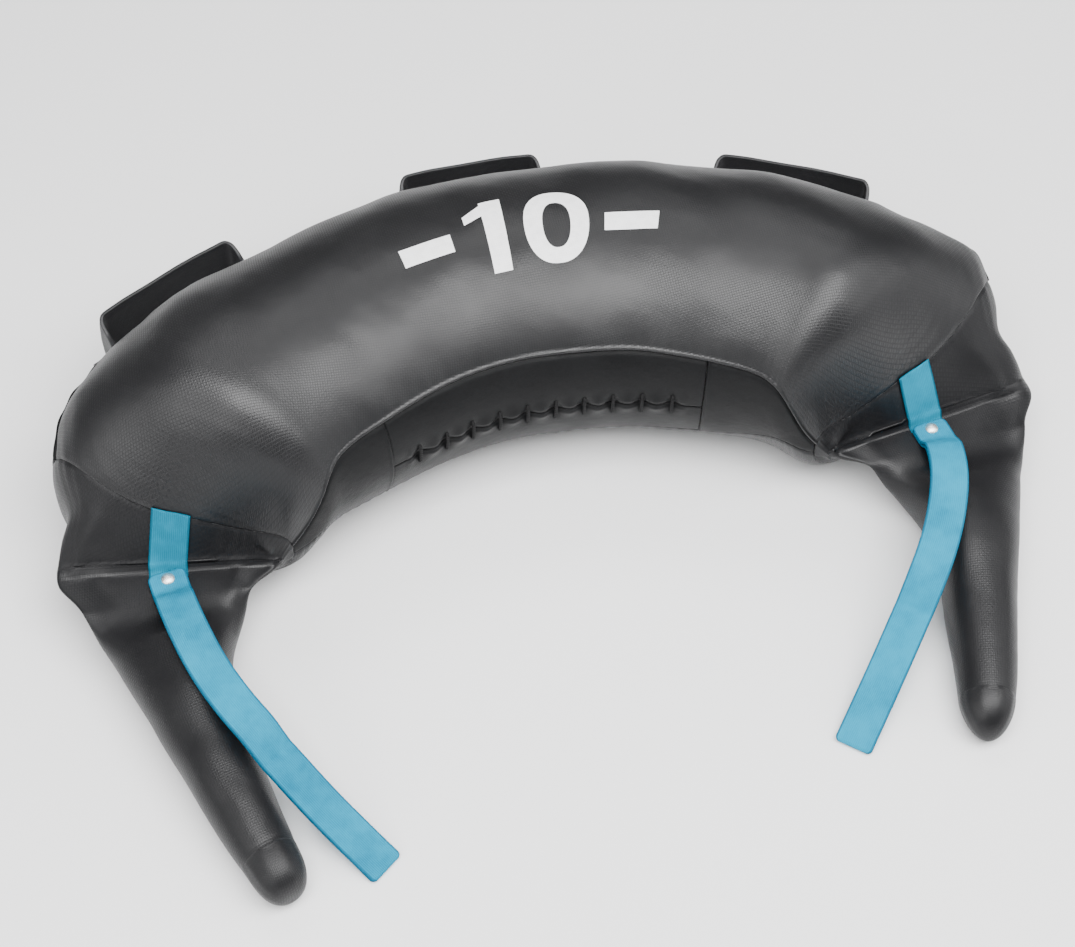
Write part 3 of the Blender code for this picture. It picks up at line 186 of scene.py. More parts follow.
@dataclass
class Cloth:
    """Arrays of one piece before it becomes a mesh.

    Each patch is a grid of points with a pattern position, in metres, at each point.
    """

    name: str
    points: list[Array] = field(default_factory=list)
    faces: list[list[int]] = field(default_factory=list)
    pattern: list[Array] = field(default_factory=list)

    def count(self) -> int:
        """Number of points so far."""
        return sum(len(p) for p in self.points)

    def add_grid(self, grid: Array, pattern: Array, wrap: bool = False,
                 caps: tuple[bool, bool] = (False, False), joined: bool = False) -> None:
        """Add a grid of quads, with fans that close its first or last ring.

        Args:
            grid: rows by columns by 3.
            pattern: rows by columns by 2, with one more of each where the grid closes on itself.
            wrap: whether the last column meets the first.
            caps: whether the first and the last ring are closed by a fan.
            joined: whether the last row meets the first.
        """
        rows, columns = grid.shape[:2]
        start = self.count()
        i, j = np.meshgrid(np.arange(rows if joined else rows - 1),
                           np.arange(columns if wrap else columns - 1), indexing="ij")
        below, beside = (i + 1) % rows * columns, (j + 1) % columns
        above = i * columns
        quads = np.stack([above + j, below + j, below + beside, above + beside], axis=-1)
        low = np.minimum(i + 1, pattern.shape[0] - 1)
        right = np.minimum(j + 1, pattern.shape[1] - 1)
        corners = np.stack([pattern[i, j], pattern[low, j], pattern[low, right],
                            pattern[i, right]], axis=2)
        self.points.append(grid.reshape(-1, 3))
        self.faces += (quads.reshape(-1, 4) + start).tolist()
        self.pattern.append(corners.reshape(-1, 2))
        for ring, wanted in ((0, caps[0]), (rows - 1, caps[1])):
            if not wanted:
                continue
            centre = self.count()
            self.points.append(grid[ring].mean(axis=0)[None])
            here = start + ring * columns + np.arange(columns)
            after = np.roll(here, -1)
            fan = [[centre, a, b] for a, b in zip(here, after)]
            if ring:
                fan = [face[::-1] for face in fan]
            self.faces += fan
            self.pattern.append(np.tile(pattern[ring].mean(axis=0), (3 * columns, 1)))

    def build(self, material: Material, thick: float = 0.0, inward: bool = True,
              outside_of: Optional[Array] = None) -> Object:
        """Make the object, with its faces outward and its pattern in the map named Surface.

        Args:
            material: finish of the whole piece.
            thick: wall thickness, or 0 for a piece that is closed already.
            inward: whether the wall grows inward from the surface.
            outside_of: for an open sheet, points that lie behind the sheet.

        Returns:
            The finished object, at the origin.
        """
        mesh = bpy.data.meshes.new(self.name)
        points = np.concatenate(self.points)
        mesh.from_pydata(points.tolist(), [], self.faces)
        layer = mesh.uv_layers.new(name="Surface")
        layer.data.foreach_set("uv", np.concatenate(self.pattern).ravel())
        mesh.update()
        faces_out = self._volume(points) > 0.0
        if outside_of is not None:
            centres, normals = np.empty((2, len(mesh.polygons), 3))
            mesh.polygons.foreach_get("center", centres.ravel())
            mesh.polygons.foreach_get("normal", normals.ravel())
            faces_out = np.sum(normals * unit(centres - outside_of), axis=1).mean() > 0.0
        if not faces_out:
            mesh.flip_normals()
        mesh.polygons.foreach_set("use_smooth", np.ones(len(mesh.polygons), bool))
        made = linked(self.name, mesh)
        mesh.materials.append(material)
        if thick:
            wall = made.modifiers.new("wall", "SOLIDIFY")
            wall.thickness = thick
            wall.offset = -1.0 if inward else 0.0
            wall.use_rim = True
        return made

    def _volume(self, points: Array) -> float:
        """Signed volume inside the faces, by the sum of the tetrahedra on each face.

        Args:
            points: all the points.

        Returns:
            The volume, below nought where the faces point inward.
        """
        quads = np.array([face + face[-1:] if len(face) == 3 else face for face in self.faces])
        a, b, c, d = (points[quads[:, i]] for i in range(4))
        first = np.sum(a * np.cross(b, c))
        return float(first + np.sum(a * np.cross(c, d)))


def strip_pattern(u: Array, v: Array) -> Array:
    """Pattern positions from two arrays of lengths."""
    return np.stack(np.broadcast_arrays(u, v), axis=-1)


def open_sheet(name: str, grid: Array, pattern: Array, material: Material,
               thick: float, behind: Array, inward: bool = True) -> Object:
    """Piece of one open grid with a wall.

    Args:
        name: the piece's name.
        grid: its points.
        pattern: its pattern positions.
        material: its finish.
        thick: wall thickness, or 0 for none.
        behind: points on its inner side.
        inward: whether the wall grows inward from the grid.

    Returns:
        The finished object.
    """
    cloth = Cloth(name)
    cloth.add_grid(grid, pattern)
    return cloth.build(material, thick, inward, behind)


def closed_tube(name: str, grid: Array, pattern: Array, material: Material,
                thick: float = 0.0) -> Object:
    """Piece of one grid that wraps round, closed by a fan at both ends.

    Args:
        name: the piece's name.
        grid: its points, ring after ring.
        pattern: its pattern positions, with one more column than the grid.
        material: its finish.
        thick: wall thickness, or 0 for a solid piece.

    Returns:
        The finished object.
    """
    cloth = Cloth(name)
    cloth.add_grid(grid, pattern, wrap=True, caps=(True, True))
    return cloth.build(material, thick)


# Relief of the skins


@dataclass(frozen=True)
class Ripple:
    """Gentle unevenness that is the same wherever two pieces meet.

    Formula: the sum of cosines along random directions in space, each of about one wave to the
    given size, times the height and over the root of their number.
    """

    seed: int
    size: float
    height: float
    waves: int = 10

    def at(self, points: Array) -> Array:
        """Height at each point.

        Args:
            points: places in the bag's frame.

        Returns:
            The heights.
        """
        rng = np.random.default_rng(self.seed)
        ways = unit(rng.normal(size=(self.waves, 3)))
        rates = 2.0 * np.pi / self.size * rng.uniform(0.65, 1.35, self.waves)
        phases = rng.uniform(0.0, 2.0 * np.pi, self.waves)
        total = np.zeros(points.shape[:-1])
        for way, rate, phase in zip(ways, rates, phases):
            total += np.cos(points @ way * rate + phase)
        return total * self.height / np.sqrt(self.waves)


@dataclass(frozen=True)
class Fold:
    """A ridge, or a hollow where its height is negative, along a straight run in space.

    Formula: a bell curve of the distance from the run, faded toward the run's far end.
    """

    start: Array
    end: Array
    height: float
    width: float
    fade: float = 0.75

    def at(self, points: Array) -> Array:
        """Height at each point.

        Args:
            points: places in the bag's frame.

        Returns:
            The heights.
        """
        run = self.end - self.start
        share = np.clip((points - self.start) @ run / (run @ run), 0.0, 1.0)
        away = np.linalg.norm(points - self.start - share[..., None] * run, axis=-1)
        fading = 1.0 - self.fade * share ** 1.5
        return self.height * fading * bell(away, self.width)


@dataclass(frozen=True)
class Calm:
    """A place where something is fastened, so that the skin lies still."""

    centre: Array
    reach: float

    def at(self, points: Array) -> Array:
        """Share of the relief that is left: 0 at the place and 1 beyond its reach."""
        away = np.linalg.norm(points - self.centre, axis=-1) / self.reach
        return ease(away * 1.6 - 0.6)


@dataclass(frozen=True)
class Swelling:
    """A broad fullness of the filling round one point: a bell curve of the distance."""

    centre: Array
    height: float
    reach: float

    def at(self, points: Array) -> Array:
        """Height at each point."""
        return self.height * bell(np.linalg.norm(points - self.centre, axis=-1), self.reach)


@dataclass
class Relief:
    """All the unevenness of the bag's skins."""

    ripples: list[Ripple] = field(default_factory=list)
    folds: list[Fold] = field(default_factory=list)
    calm: list[Calm] = field(default_factory=list)
    swellings: list[Swelling] = field(default_factory=list)
    held: list[Calm] = field(default_factory=list)
    deepest: float = 1.5 * MM

    def at(self, points: Array) -> Array:
        """Height of the skin above its plain form at each point.

        Args:
            points: places in the bag's frame.

        Returns:
            The heights.
        """
        total = np.zeros(points.shape[:-1])
        for part in self.ripples + self.folds:
            total += part.at(points)
        for place in self.calm + self.held:
            total *= place.at(points)
        sunk = self.deepest * np.tanh(total / self.deepest)
        total = np.where(total < 0.0, sunk, total)
        fullness = sum((swelling.at(points) for swelling in self.swellings), 0.0 * total)
        for place in self.held:
            fullness *= place.at(points)
        return total + fullness


def seam_tuck(distance: Array, depth: float = 0.8 * MM, width: float = 1.5 * MM) -> Array:
    """Depth to which a panel's edge is drawn in at its seam: a bell curve of the distance."""
    return -depth * bell(distance, width)


def seam_hem(distance: Array, height: float = 1.1 * MM) -> Array:
    """A turned hem that stands up beside its seam: a narrow bell curve set back from the edge."""
    stood = height * bell(distance - 1.5 * MM, 1.1 * MM)
    return stood - 0.5 * MM * bell(distance, 0.5 * MM)


def puckers(along: Array, distance: Array, pitch: float, height: float) -> Array:
    """Small gathers beside a seam.

    Formula: a wave along the seam whose rate wanders slowly, fading with the distance.

    Args:
        along: lengths along the seam.
        distance: distances from the seam.
        pitch: length of one gather.
        height: height of the gathers.

    Returns:
        The heights.
    """
    wander = 1.9 * np.sin(along / (pitch * 1.7)) + np.sin(along * 61.0)
    phase = 2.0 * np.pi * along / pitch + wander
    return height * np.sin(phase) * np.exp(-(distance / (pitch * 1.1)))


# Forms shared with the frame


def round_power(value: Array, power: Union[float, Array]) -> Array:
    """Signed power, which squares up a circle's sine or cosine."""
    return np.sign(value) * np.abs(value) ** power


def smooth_knots(distance: Array, places: Sequence[float], values: Sequence[float]) -> Array:
    """Smooth curve through a few values.

    Formula: cubic pieces whose slopes are the harmonic means of their neighbours' slopes.

    Args:
        distance: where the curve is wanted.
        places: where the values stand, rising.
        values: the values there.

    Returns:
        The curve's values.
    """
    places = np.asarray(places, float)
    values = np.asarray(values, float)
    steps = np.diff(values) / np.diff(places)
    slopes = np.zeros_like(values)
    same = steps[1:] * steps[:-1] > 0.0
    slopes[1:-1][same] = 2.0 * steps[1:][same] * steps[:-1][same] / (steps[1:] + steps[:-1])[same]
    slopes[-1] = steps[-1]
    distance = np.clip(distance, places[0], places[-1])
    i = np.clip(np.searchsorted(places, distance, side="right") - 1, 0, len(places) - 2)
    span = places[i + 1] - places[i]
    t = (distance - places[i]) / span
    return ((2 * t ** 3 - 3 * t ** 2 + 1) * values[i] + (t ** 3 - 2 * t ** 2 + t) * span * slopes[i]
            + (3 * t ** 2 - 2 * t ** 3) * values[i + 1] + (t ** 3 - t ** 2) * span * slopes[i + 1])


@dataclass(frozen=True)
class BodyForm:
    """The crescent body: a round section carried along an arch, a straight and a shoulder."""

    arch_radius: float = 0.354
    arch_turn: float = np.radians(20.5)
    side_straight: float = 0.044
    shoulder_radius: float = 0.136
    shoulder_turn: float = np.radians(39.0)
    yoke_length: float = 0.045
    crease_turn: float = np.radians(21.5)
    plan_shift: float = 0.1210
    width: float = 0.186
    height: float = 0.163
    floor_sag: float = 0.0045
    fall_length: float = 0.073
    crease_width: float = 0.142
    crease_thick: float = 0.0172
    crease_rise: float = 0.0340
    spine_half_angle: float = 18.0
    neck_half_angle: float = 30.0
    neck_end_angle: float = 4.0
    neck_seam_at: float = 0.140
    seam_bow: float = 0.0105
    seam_skew: float = 0.0135
    seam_at: float = 0.0195

    @property
    def arch_end(self) -> float:
        """Length along the middle line at which the arch ends."""
        return self.arch_radius * self.arch_turn

    @property
    def straight_end(self) -> float:
        """Length at which the straight ends."""
        return self.arch_end + self.side_straight

    @property
    def shoulder_end(self) -> float:
        """Length at which the shoulder ends."""
        return self.straight_end + self.shoulder_radius * self.shoulder_turn

    @property
    def crease_at(self) -> float:
        """Length of the pinched crease."""
        return self.shoulder_end + self.yoke_length

    def middle_line(self, s: Array) -> tuple[Array, Array, Array]:
        """Plan point and heading at the lengths s from the centre, on the right.

        Formula: the mean of the plain line over a short window, which eases one arc into the
        next; the window closes toward the crease.

        Args:
            s: lengths along the bag from its centre.

        Returns:
            X and Y of the plan point, and the heading.
        """
        return self.eased(self.signed_line, s, 0.026, 0.060)

    def eased(self, plain: Callable[[Array], tuple], s: Array, reach: float,
              closing: float) -> tuple:
        """Mean of a form over a short window round each length.

        Args:
            plain: the form.
            s: lengths from the centre.
            reach: half the window.
            closing: distance before the crease at which the window starts to close.

        Returns:
            The form's values, each as its mean.
        """
        s = np.abs(np.asarray(s, float))
        window = reach * np.clip((self.crease_at - s) / closing, 0.0, 1.0)
        parts = [plain(s + offset * window) for offset in np.linspace(-1.0, 1.0, 7)]
        return tuple(sum(values) / 7 for values in zip(*parts))

    def signed_line(self, s: Array) -> tuple[Array, Array, Array]:
        """The plain line on both sides of the centre.

        Args:
            s: lengths along the bag from its centre.

        Returns:
            X and Y of the plan point, and the heading.
        """
        x, y, heading = self.plain_line(s)
        sign = np.where(s < 0.0, -1.0, 1.0)
        return sign * x, y, sign * heading

    def plain_line(self, s: Array) -> tuple[Array, Array, Array]:
        """Two arcs with a straight between them, then a straight that goes on turning.

        Args:
            s: lengths along the bag from its centre.

        Returns:
            X and Y of the plan point, and the heading.
        """
        s = np.abs(np.asarray(s, float))
        arch = self.arch_turn
        first = np.clip(s, 0.0, self.arch_end) / self.arch_radius
        x = self.arch_radius * np.sin(first)
        y = self.plan_shift - self.arch_radius * (1.0 - np.cos(first))
        run = np.clip(s - self.arch_end, 0.0, self.side_straight)
        x = x + run * np.cos(arch)
        y = y - run * np.sin(arch)
        second = np.clip(s - self.straight_end, 0.0, self.shoulder_end - self.straight_end)
        second = second / self.shoulder_radius
        x = x + self.shoulder_radius * (np.sin(arch + second) - np.sin(arch))
        y = y - self.shoulder_radius * (np.cos(arch) - np.cos(arch + second))
        end = arch + self.shoulder_turn
        run = np.clip(s - self.shoulder_end, 0.0, None)
        x = x + run * np.cos(end)
        y = y - run * np.sin(end)
        extra = self.crease_turn * np.clip(run / self.yoke_length, 0.0, 1.0)
        return x, y, first + second + extra

    def section(self, s: Array) -> tuple[Array, Array, Array, Array]:
        """Half width, half height, middle height and squareness at the lengths s.

        Formula: the mean of the plain section over a short window that closes at the crease.

        Args:
            s: lengths along the bag from its centre.

        Returns:
            Half width, half height, middle height and squareness.
        """
        return self.eased(self.plain_section, s, 0.020, 0.055)

    def plain_section(self, s: Array) -> tuple[Array, Array, Array, Array]:
        """Sizes that fall from the full round section to the flat crease.

        Args:
            s: lengths along the bag from its centre.

        Returns:
            Half width, half height, middle height and squareness.
        """
        k = np.clip((np.abs(s) - (self.crease_at - self.fall_length)) / self.fall_length, 0.0, 1.0)
        half_width = self.width / 2 - (self.width - self.crease_width) / 2 * k ** 1.6
        half_full = (self.height + self.floor_sag) / 2
        half_height = self.crease_thick / 2 + (half_full - self.crease_thick / 2) * (1.0 - k ** 1.8)
        middle = half_height - self.floor_sag * (1.0 - k) + self.crease_rise * k ** 3
        return half_width, half_height, middle, 2.0 + 1.2 * k ** 2

    def point(self, s: Array, angle: Array) -> Array:
        """Points on the body; the angle is 0 on the outer curve, 90 on top and 180 at the neck.

        Formula: powers of the angle's cosine and sine, times the half sizes of the section.

        Args:
            s: lengths along the bag from its centre.
            angle: angles round the section, in degrees.

        Returns:
            The points.
        """
        s, angle = np.broadcast_arrays(np.asarray(s, float), np.asarray(angle, float))
        x, y, heading = self.middle_line(s)
        half_width, half_height, middle, square = self.section(s)
        turn = np.radians(angle)
        across = half_width * round_power(np.cos(turn), 2.0 / square)
        z = np.maximum(middle + half_height * round_power(np.sin(turn), 2.0 / square), 0.0)
        x = np.where(s < 0.0, -1.0, 1.0) * (x + across * np.sin(heading))
        return np.stack([x, y + across * np.cos(heading), z], axis=-1)

    def centre(self, s: Array, angle: Array) -> Array:
        """Middle of the section that each body point belongs to.

        Args:
            s: lengths along the bag from its centre.
            angle: angles round the section, in degrees.

        Returns:
            The middles.
        """
        s, _ = np.broadcast_arrays(np.asarray(s, float), np.asarray(angle, float))
        x, y, _ = self.middle_line(s)
        return np.stack([np.where(s < 0.0, -x, x), y, self.section(s)[2]], axis=-1)

    def normal(self, s: Array, angle: Array) -> Array:
        """Unit normals of the plain surface, from its differences over a short step.

        Args:
            s: lengths along the bag from its centre.
            angle: angles round the section, in degrees.

        Returns:
            The normals, which point outward.
        """
        s, angle = np.broadcast_arrays(np.asarray(s, float), np.asarray(angle, float))
        along = self.point(s + 0.0004, angle) - self.point(s - 0.0004, angle)
        around = self.point(s, angle + 0.4) - self.point(s, angle - 0.4)
        normal = unit(np.cross(along, around))
        away = self.point(s, angle) - self.centre(s, angle)
        outward = np.sum(normal * away, axis=-1, keepdims=True)
        return normal * np.where(outward < 0.0, -1.0, 1.0)

    def off(self, s: Array, angle: Array, height: Union[float, Array]) -> Array:
        """Points at a height above the plain surface, along its own normal."""
        height = np.asarray(height, float)[..., None]
        return self.point(s, angle) + self.normal(s, angle) * height

    def end_seam(self, angle: Array) -> Array:
        """Length at which the end seam crosses each angle.

        Args:
            angle: angles round the section, in degrees.

        Returns:
            The lengths along the bag.
        """
        turn = np.radians(angle)
        bow = self.seam_bow * np.sin(turn) ** 2 - self.seam_skew * np.cos(turn)
        return self.shoulder_end + self.seam_at + bow

    def neck_edge(self, s: Array) -> Array:
        """Half angle of the neck panel at the lengths s.

        Args:
            s: lengths along the bag from its centre.

        Returns:
            The half angles, in degrees.
        """
        k = np.clip(np.abs(s) / self.end_seam(180.0), 0.0, 1.0)
        span = self.neck_half_angle - self.neck_end_angle
        return self.neck_end_angle + span * (1.0 - k ** 2.6)

    def flat_plan(self, s: Array, angle: Array) -> Array:
        """Where each point lay in the flat panel before it was sewn.

        Formula: the middle line's plan point plus the developed length round the section.

        Args:
            s: lengths along the bag from its centre.
            angle: angles round the section, in degrees.

        Returns:
            The plan positions.
        """
        x, y, heading = self.middle_line(s)
        half_width = self.section(s)[0]
        across = half_width * np.radians(90.0 - np.asarray(angle, float)) * 0.92
        sign = np.where(np.asarray(s) < 0.0, -1.0, 1.0)
        return np.stack([sign * (x + across * np.sin(heading)), y + across * np.cos(heading)], -1)


@dataclass(frozen=True)
class HornForm:
    """One horn grip, on the right: a flat band at the crease that flares into a stuffed horn."""

    body: BodyForm = field(default_factory=BodyForm)
    length: float = 0.222
    sweep: float = np.radians(17.0)
    lead: float = 0.085
    band_width: float = 0.112
    band_thick: float = 0.0080
    band_length: float = 0.023
    flare_length: float = 0.031
    shoulder: float = 0.075
    thick: float = 0.052
    tip: float = 0.034
    tip_round: float = 0.012
    floor_play: float = 0.0004
    rivet_at: float = 0.0123
    ear: float = 0.0125

    @property
    def origin(self) -> Array:
        """Middle of the crease."""
        x, y, _ = self.body.middle_line(self.body.crease_at)
        return np.array([float(x), float(y), float(self.body.section(self.body.crease_at)[2])])

    @property
    def heading(self) -> float:
        """Heading of the bag's middle line at the crease."""
        return float(self.body.middle_line(self.body.crease_at)[2])

    @property
    def out(self) -> Array:
        """Direction along the crease, outward."""
        return np.array([np.sin(self.heading), np.cos(self.heading), 0.0])

    @property
    def ahead(self) -> Array:
        """Direction across the crease, along the horn."""
        return np.array([np.cos(self.heading), -np.sin(self.heading), 0.0])

    @property
    def rivet(self) -> Array:
        """Middle of the riveted band."""
        return self.origin + self.ahead * self.rivet_at + UP * self.floor_play

    def curve(self) -> tuple[Array, Array, Array]:
        """Middle line of the horn in plan: points, their shares and the run to each.

        Formula: a curve of the second degree from the crease to the tip.

        Returns:
            The points, shares and runs.
        """
        t = np.linspace(0.0, 1.0, 401)
        control = self.origin + self.ahead * self.lead
        tip = self.heading + self.sweep
        end = self.origin + self.length * np.array([np.cos(tip), -np.sin(tip), 0.0])
        points = ((1 - t[:, None]) ** 2 * self.origin + 2 * (t * (1 - t))[:, None] * control
                  + t[:, None] ** 2 * end)
        return points, t, run_along(points)

    @property
    def reach(self) -> float:
        """Length of the horn's middle line."""
        return float(self.curve()[2][-1])

    def sizes(self, d: Array) -> tuple[Array, Array, Array, Array]:
        """Half width, half thickness, middle height and squareness at the distances d.

        Formula: smooth curves through a few values each.

        Args:
            d: distances from the crease.

        Returns:
            The four sizes.
        """
        flare = self.band_length + self.flare_length
        reach = self.reach
        horn = reach - flare
        places = [0.0, self.band_length * 0.5, self.band_length,
                  self.band_length + self.flare_length * 0.48, flare, flare + horn * 0.17,
                  flare + horn * 0.45, reach - self.tip_round, reach - self.tip_round / 3, reach]
        band, tip, neck = self.band_thick / 2, self.tip / 2, self.thick / 2
        width = smooth_knots(d, places, [
            self.band_width * 0.5, self.band_width * 0.5, self.band_width * 0.474,
            (self.band_width + self.shoulder) * 0.245, self.shoulder * 0.5,
            neck * 1.15, neck * 0.96, tip * 1.06, tip * 0.94, tip * 0.70])
        thick = smooth_knots(d, places, [
            band, band, band, band + (neck - band) * 0.5, neck,
            neck * 1.06, neck * 0.94, tip * 1.06, tip * 0.94, tip * 0.70])
        under = self.origin[2] - band
        low = smooth_knots(d, places, [under, under, under, under * 0.45, under * 0.04,
                                       0.0, 0.0, 0.0, tip * 0.06, tip * 0.30])
        rest = low + thick + self.floor_play
        square = 2.0 + 1.6 * (1.0 - np.clip(d / flare, 0.0, 1.0)) ** 1.5
        return width, thick, rest, square

    def dressed_sizes(self, d: Array) -> tuple[Array, Array, Array, Array]:
        """Sizes of the sewn skin: the crease stands up as a ridge with an ear at each end.

        Args:
            d: distances from the crease.

        Returns:
            The four sizes.
        """
        width, thick, rest, square = self.sizes(d)
        width = width + self.ear * bell(d, 0.0130)
        ridge = self.body.crease_thick / 2 - self.band_thick / 2
        thick = thick + ridge * bell(d, 0.0030)
        return width, thick, rest, square

    def line(self, d: Array) -> tuple[Array, Array, Array]:
        """Plan point and heading on the horn's middle line.

        Args:
            d: distances from the crease.

        Returns:
            X and Y of the plan point, and the heading.
        """
        points, t, run = self.curve()
        here = np.interp(d, run, t)
        low = np.clip(here - 0.004, 0.0, 1.0)
        high = np.clip(here + 0.004, 0.0, 1.0)
        x, lx, hx = (np.interp(v, t, points[:, 0]) for v in (here, low, high))
        y, ly, hy = (np.interp(v, t, points[:, 1]) for v in (here, low, high))
        return x, y, np.arctan2(-(hy - ly), hx - lx)

    def point(self, d: Array, angle: Array, lean: float = 0.0, inset: float = 0.0,
              flare: float = 0.0) -> Array:
        """Points on the horn; the angle is 0 on its outer side and 90 on top.

        Args:
            d: distances from the crease.
            angle: angles round the section, in degrees.
            lean: share by which the inner side of the flare is drawn in.
            inset: depth below the surface.
            flare: length by which the outer side is let out.

        Returns:
            The points.
        """
        d, angle = np.broadcast_arrays(np.asarray(d, float), np.asarray(angle, float))
        x, y, heading = self.line(d)
        width, thick, rest, square = self.dressed_sizes(d)
        width, thick = width - inset, thick - inset
        turn = np.radians(angle)
        across = width * round_power(np.cos(turn), 2.0 / square)
        outer, inner = np.clip(np.cos(turn), 0.0, 1.0), np.clip(-np.cos(turn), 0.0, 1.0)
        drawn = lean * bell(d - 0.086, 0.050) * inner
        let_out = bell(d - 0.052, 0.064) + 0.90 * bell(d, 0.014)
        across = across * (1.0 - drawn) + flare * let_out * outer
        if flare:
            across -= 4.0 * MM * bell(d, 0.016) * inner
        up = thick * round_power(np.sin(turn), 2.0 / square)
        return np.stack([x + across * np.sin(heading), y + across * np.cos(heading), rest + up], -1)

    def centre(self, d: Array) -> Array:
        """Middle of the section at each distance."""
        x, y, _ = self.line(d)
        return np.stack([x, y, self.sizes(d)[2]], -1)


BODY = BodyForm()
HORN = HornForm()


def angle_across(across: Array, half_width: Array, square: Array) -> Array:
    """Angle at which the top of a rounded section lies at a distance across it.

    Formula: the inverse of the section's own rounding, square being its squareness.

    Args:
        across: distances from the middle of the section.
        half_width: half widths of the section.
        square: its squareness.

    Returns:
        The angles, in degrees.
    """
    ratio = np.clip(across / half_width, -1.0, 1.0)
    return np.degrees(np.arccos(round_power(ratio, square / 2.0)))


# Shader maths


def math_node(operation: str, turned: bool = False) -> Callable[..., "Signal"]:
    """Method that adds one Math node.

    Args:
        operation: the node's operation.
        turned: whether the signal comes after the other value.

    Returns:
        The method.
    """
    def method(self: "Signal", *others: Number) -> "Signal":
        """The new node's value."""
        values = (*others, self) if turned else (self, *others)
        return self.paint.node("ShaderNodeMath", {"operation": operation}, dict(enumerate(values)))

    return method


@dataclass(frozen=True)
class Signal:
    """A value socket of a material; arithmetic on it adds Math nodes."""

    paint: "Paint"
    socket: bpy.types.NodeSocket

    __add__ = __radd__ = math_node("ADD")
    __sub__ = math_node("SUBTRACT")
    __rsub__ = math_node("SUBTRACT", turned=True)
    __mul__ = __rmul__ = math_node("MULTIPLY")
    __pow__ = math_node("POWER")
    __rpow__ = math_node("POWER", turned=True)
    __abs__ = math_node("ABSOLUTE")
    sine = math_node("SINE")
    lesser = math_node("MINIMUM")

    def ramp(self, low: float, high: float, start: float = 0.0, stop: float = 1.0) -> "Signal":
        """Smooth step of this value from start, at low, to stop, at high.

        Args:
            low: value at which the step starts.
            high: value at which it ends.
            start: result up to there.
            stop: result beyond.

        Returns:
            The step.
        """
        return self.paint.node("ShaderNodeMapRange", {"interpolation_type": "SMOOTHSTEP"},
                               {"Value": self, "From Min": low, "From Max": high,
                                "To Min": start, "To Max": stop})


class Paint:
    """A material under construction round one Principled shader."""

    def __init__(self, name: str) -> None:
        """Start an empty material with its shader and output.

        Args:
            name: the material's name.
        """
        self.material = bpy.data.materials.new(name)
        self.material.use_nodes = True
        self.tree = self.material.node_tree
        self.tree.nodes.clear()
        self.shader = self.tree.nodes.new("ShaderNodeBsdfPrincipled")
        output = self.tree.nodes.new("ShaderNodeOutputMaterial")
        self.tree.links.new(self.shader.outputs[0], output.inputs[0])

    def node(self, kind: str, settings: Optional[dict] = None, inputs: Optional[dict] = None,
             output: Union[int, str] = 0) -> Signal:
        """Add any node.

        Args:
            kind: the node's type.
            settings: properties that are set first.
            inputs: values or signals by socket name or number.
            output: which output is returned.

        Returns:
            The chosen output.
        """
        made = self.tree.nodes.new(kind)
        for key, value in (settings or {}).items():
            setattr(made, key, value)
        for key, value in (inputs or {}).items():
            self.feed(made.inputs[key], value)
        return Signal(self, made.outputs[output])

    def feed(self, socket: bpy.types.NodeSocket, value: Union[Number, tuple, str]) -> None:
        """Link a signal to a socket, or set the socket's own value.

        Args:
            socket: the socket.
            value: the signal or value.
        """
        if isinstance(value, Signal):
            self.tree.links.new(value.socket, socket)
        else:
            socket.default_value = value

    def surface(self) -> tuple[Signal, Signal]:
        """The two lengths of the piece's own pattern map.

        Returns:
            Both lengths.
        """
        apart = {"Vector": self.node("ShaderNodeUVMap", {"uv_map": "Surface"})}
        return (self.node("ShaderNodeSeparateXYZ", inputs=apart),
                self.node("ShaderNodeSeparateXYZ", inputs=apart, output=1))

    def weave(self, pitch: float, power: float) -> tuple[Signal, Signal]:
        """Square cells between grooves, and the chequer of their crossings.

        Formula: the lesser of two rounded waves along the pattern's lengths, and the product of
        the plain waves.

        Args:
            pitch: width of a cell.
            power: how flat the cells are, 1 for a plain wave.

        Returns:
            The cells and the crossings.
        """
        warp, weft = ((way * (np.pi / pitch)).sine() for way in self.surface())
        return (abs(warp) ** power).lesser(abs(weft) ** power), warp * weft

    def place(self) -> Signal:
        """Object coordinates."""
        return self.node("ShaderNodeTexCoord", output="Object")

    def noise(self, vector: Signal, size: float, detail: float = 2.0,
              roughness: float = 0.5) -> Signal:
        """Noise whose features are about the given size in metres."""
        return self.node("ShaderNodeTexNoise", inputs={
            "Vector": vector, "Scale": 1.0 / size, "Detail": detail, "Roughness": roughness})

    def blend(self, share: Signal, first: tuple, second: tuple) -> Signal:
        """Colour between two colours by a share."""
        return self.node("ShaderNodeMix", {"data_type": "RGBA"}, {
            0: share, 6: (*first, 1.0), 7: (*second, 1.0)}, output=2)

    def bump(self, height: Signal, distance: float, strength: float = 1.0,
             under: Optional[Signal] = None) -> Signal:
        """Bumped normal from a height signal in units of the distance.

        Args:
            height: the height.
            distance: length of one unit of it.
            strength: share of the bump that shows.
            under: a normal that it adds to.

        Returns:
            The normal.
        """
        inputs = {"Height": height, "Distance": distance, "Strength": strength}
        if under is not None:
            inputs["Normal"] = under
        return self.node("ShaderNodeBump", inputs=inputs)

    def finish(self, **sockets: Union[float, tuple, Signal]) -> Material:
        """Set the shader's sockets by name, with spaces as underscores.

        Args:
            sockets: values or signals.

        Returns:
            The material.
        """
        for key, value in sockets.items():
            self.feed(self.shader.inputs[key.replace("_", " ")], value)
        return self.material


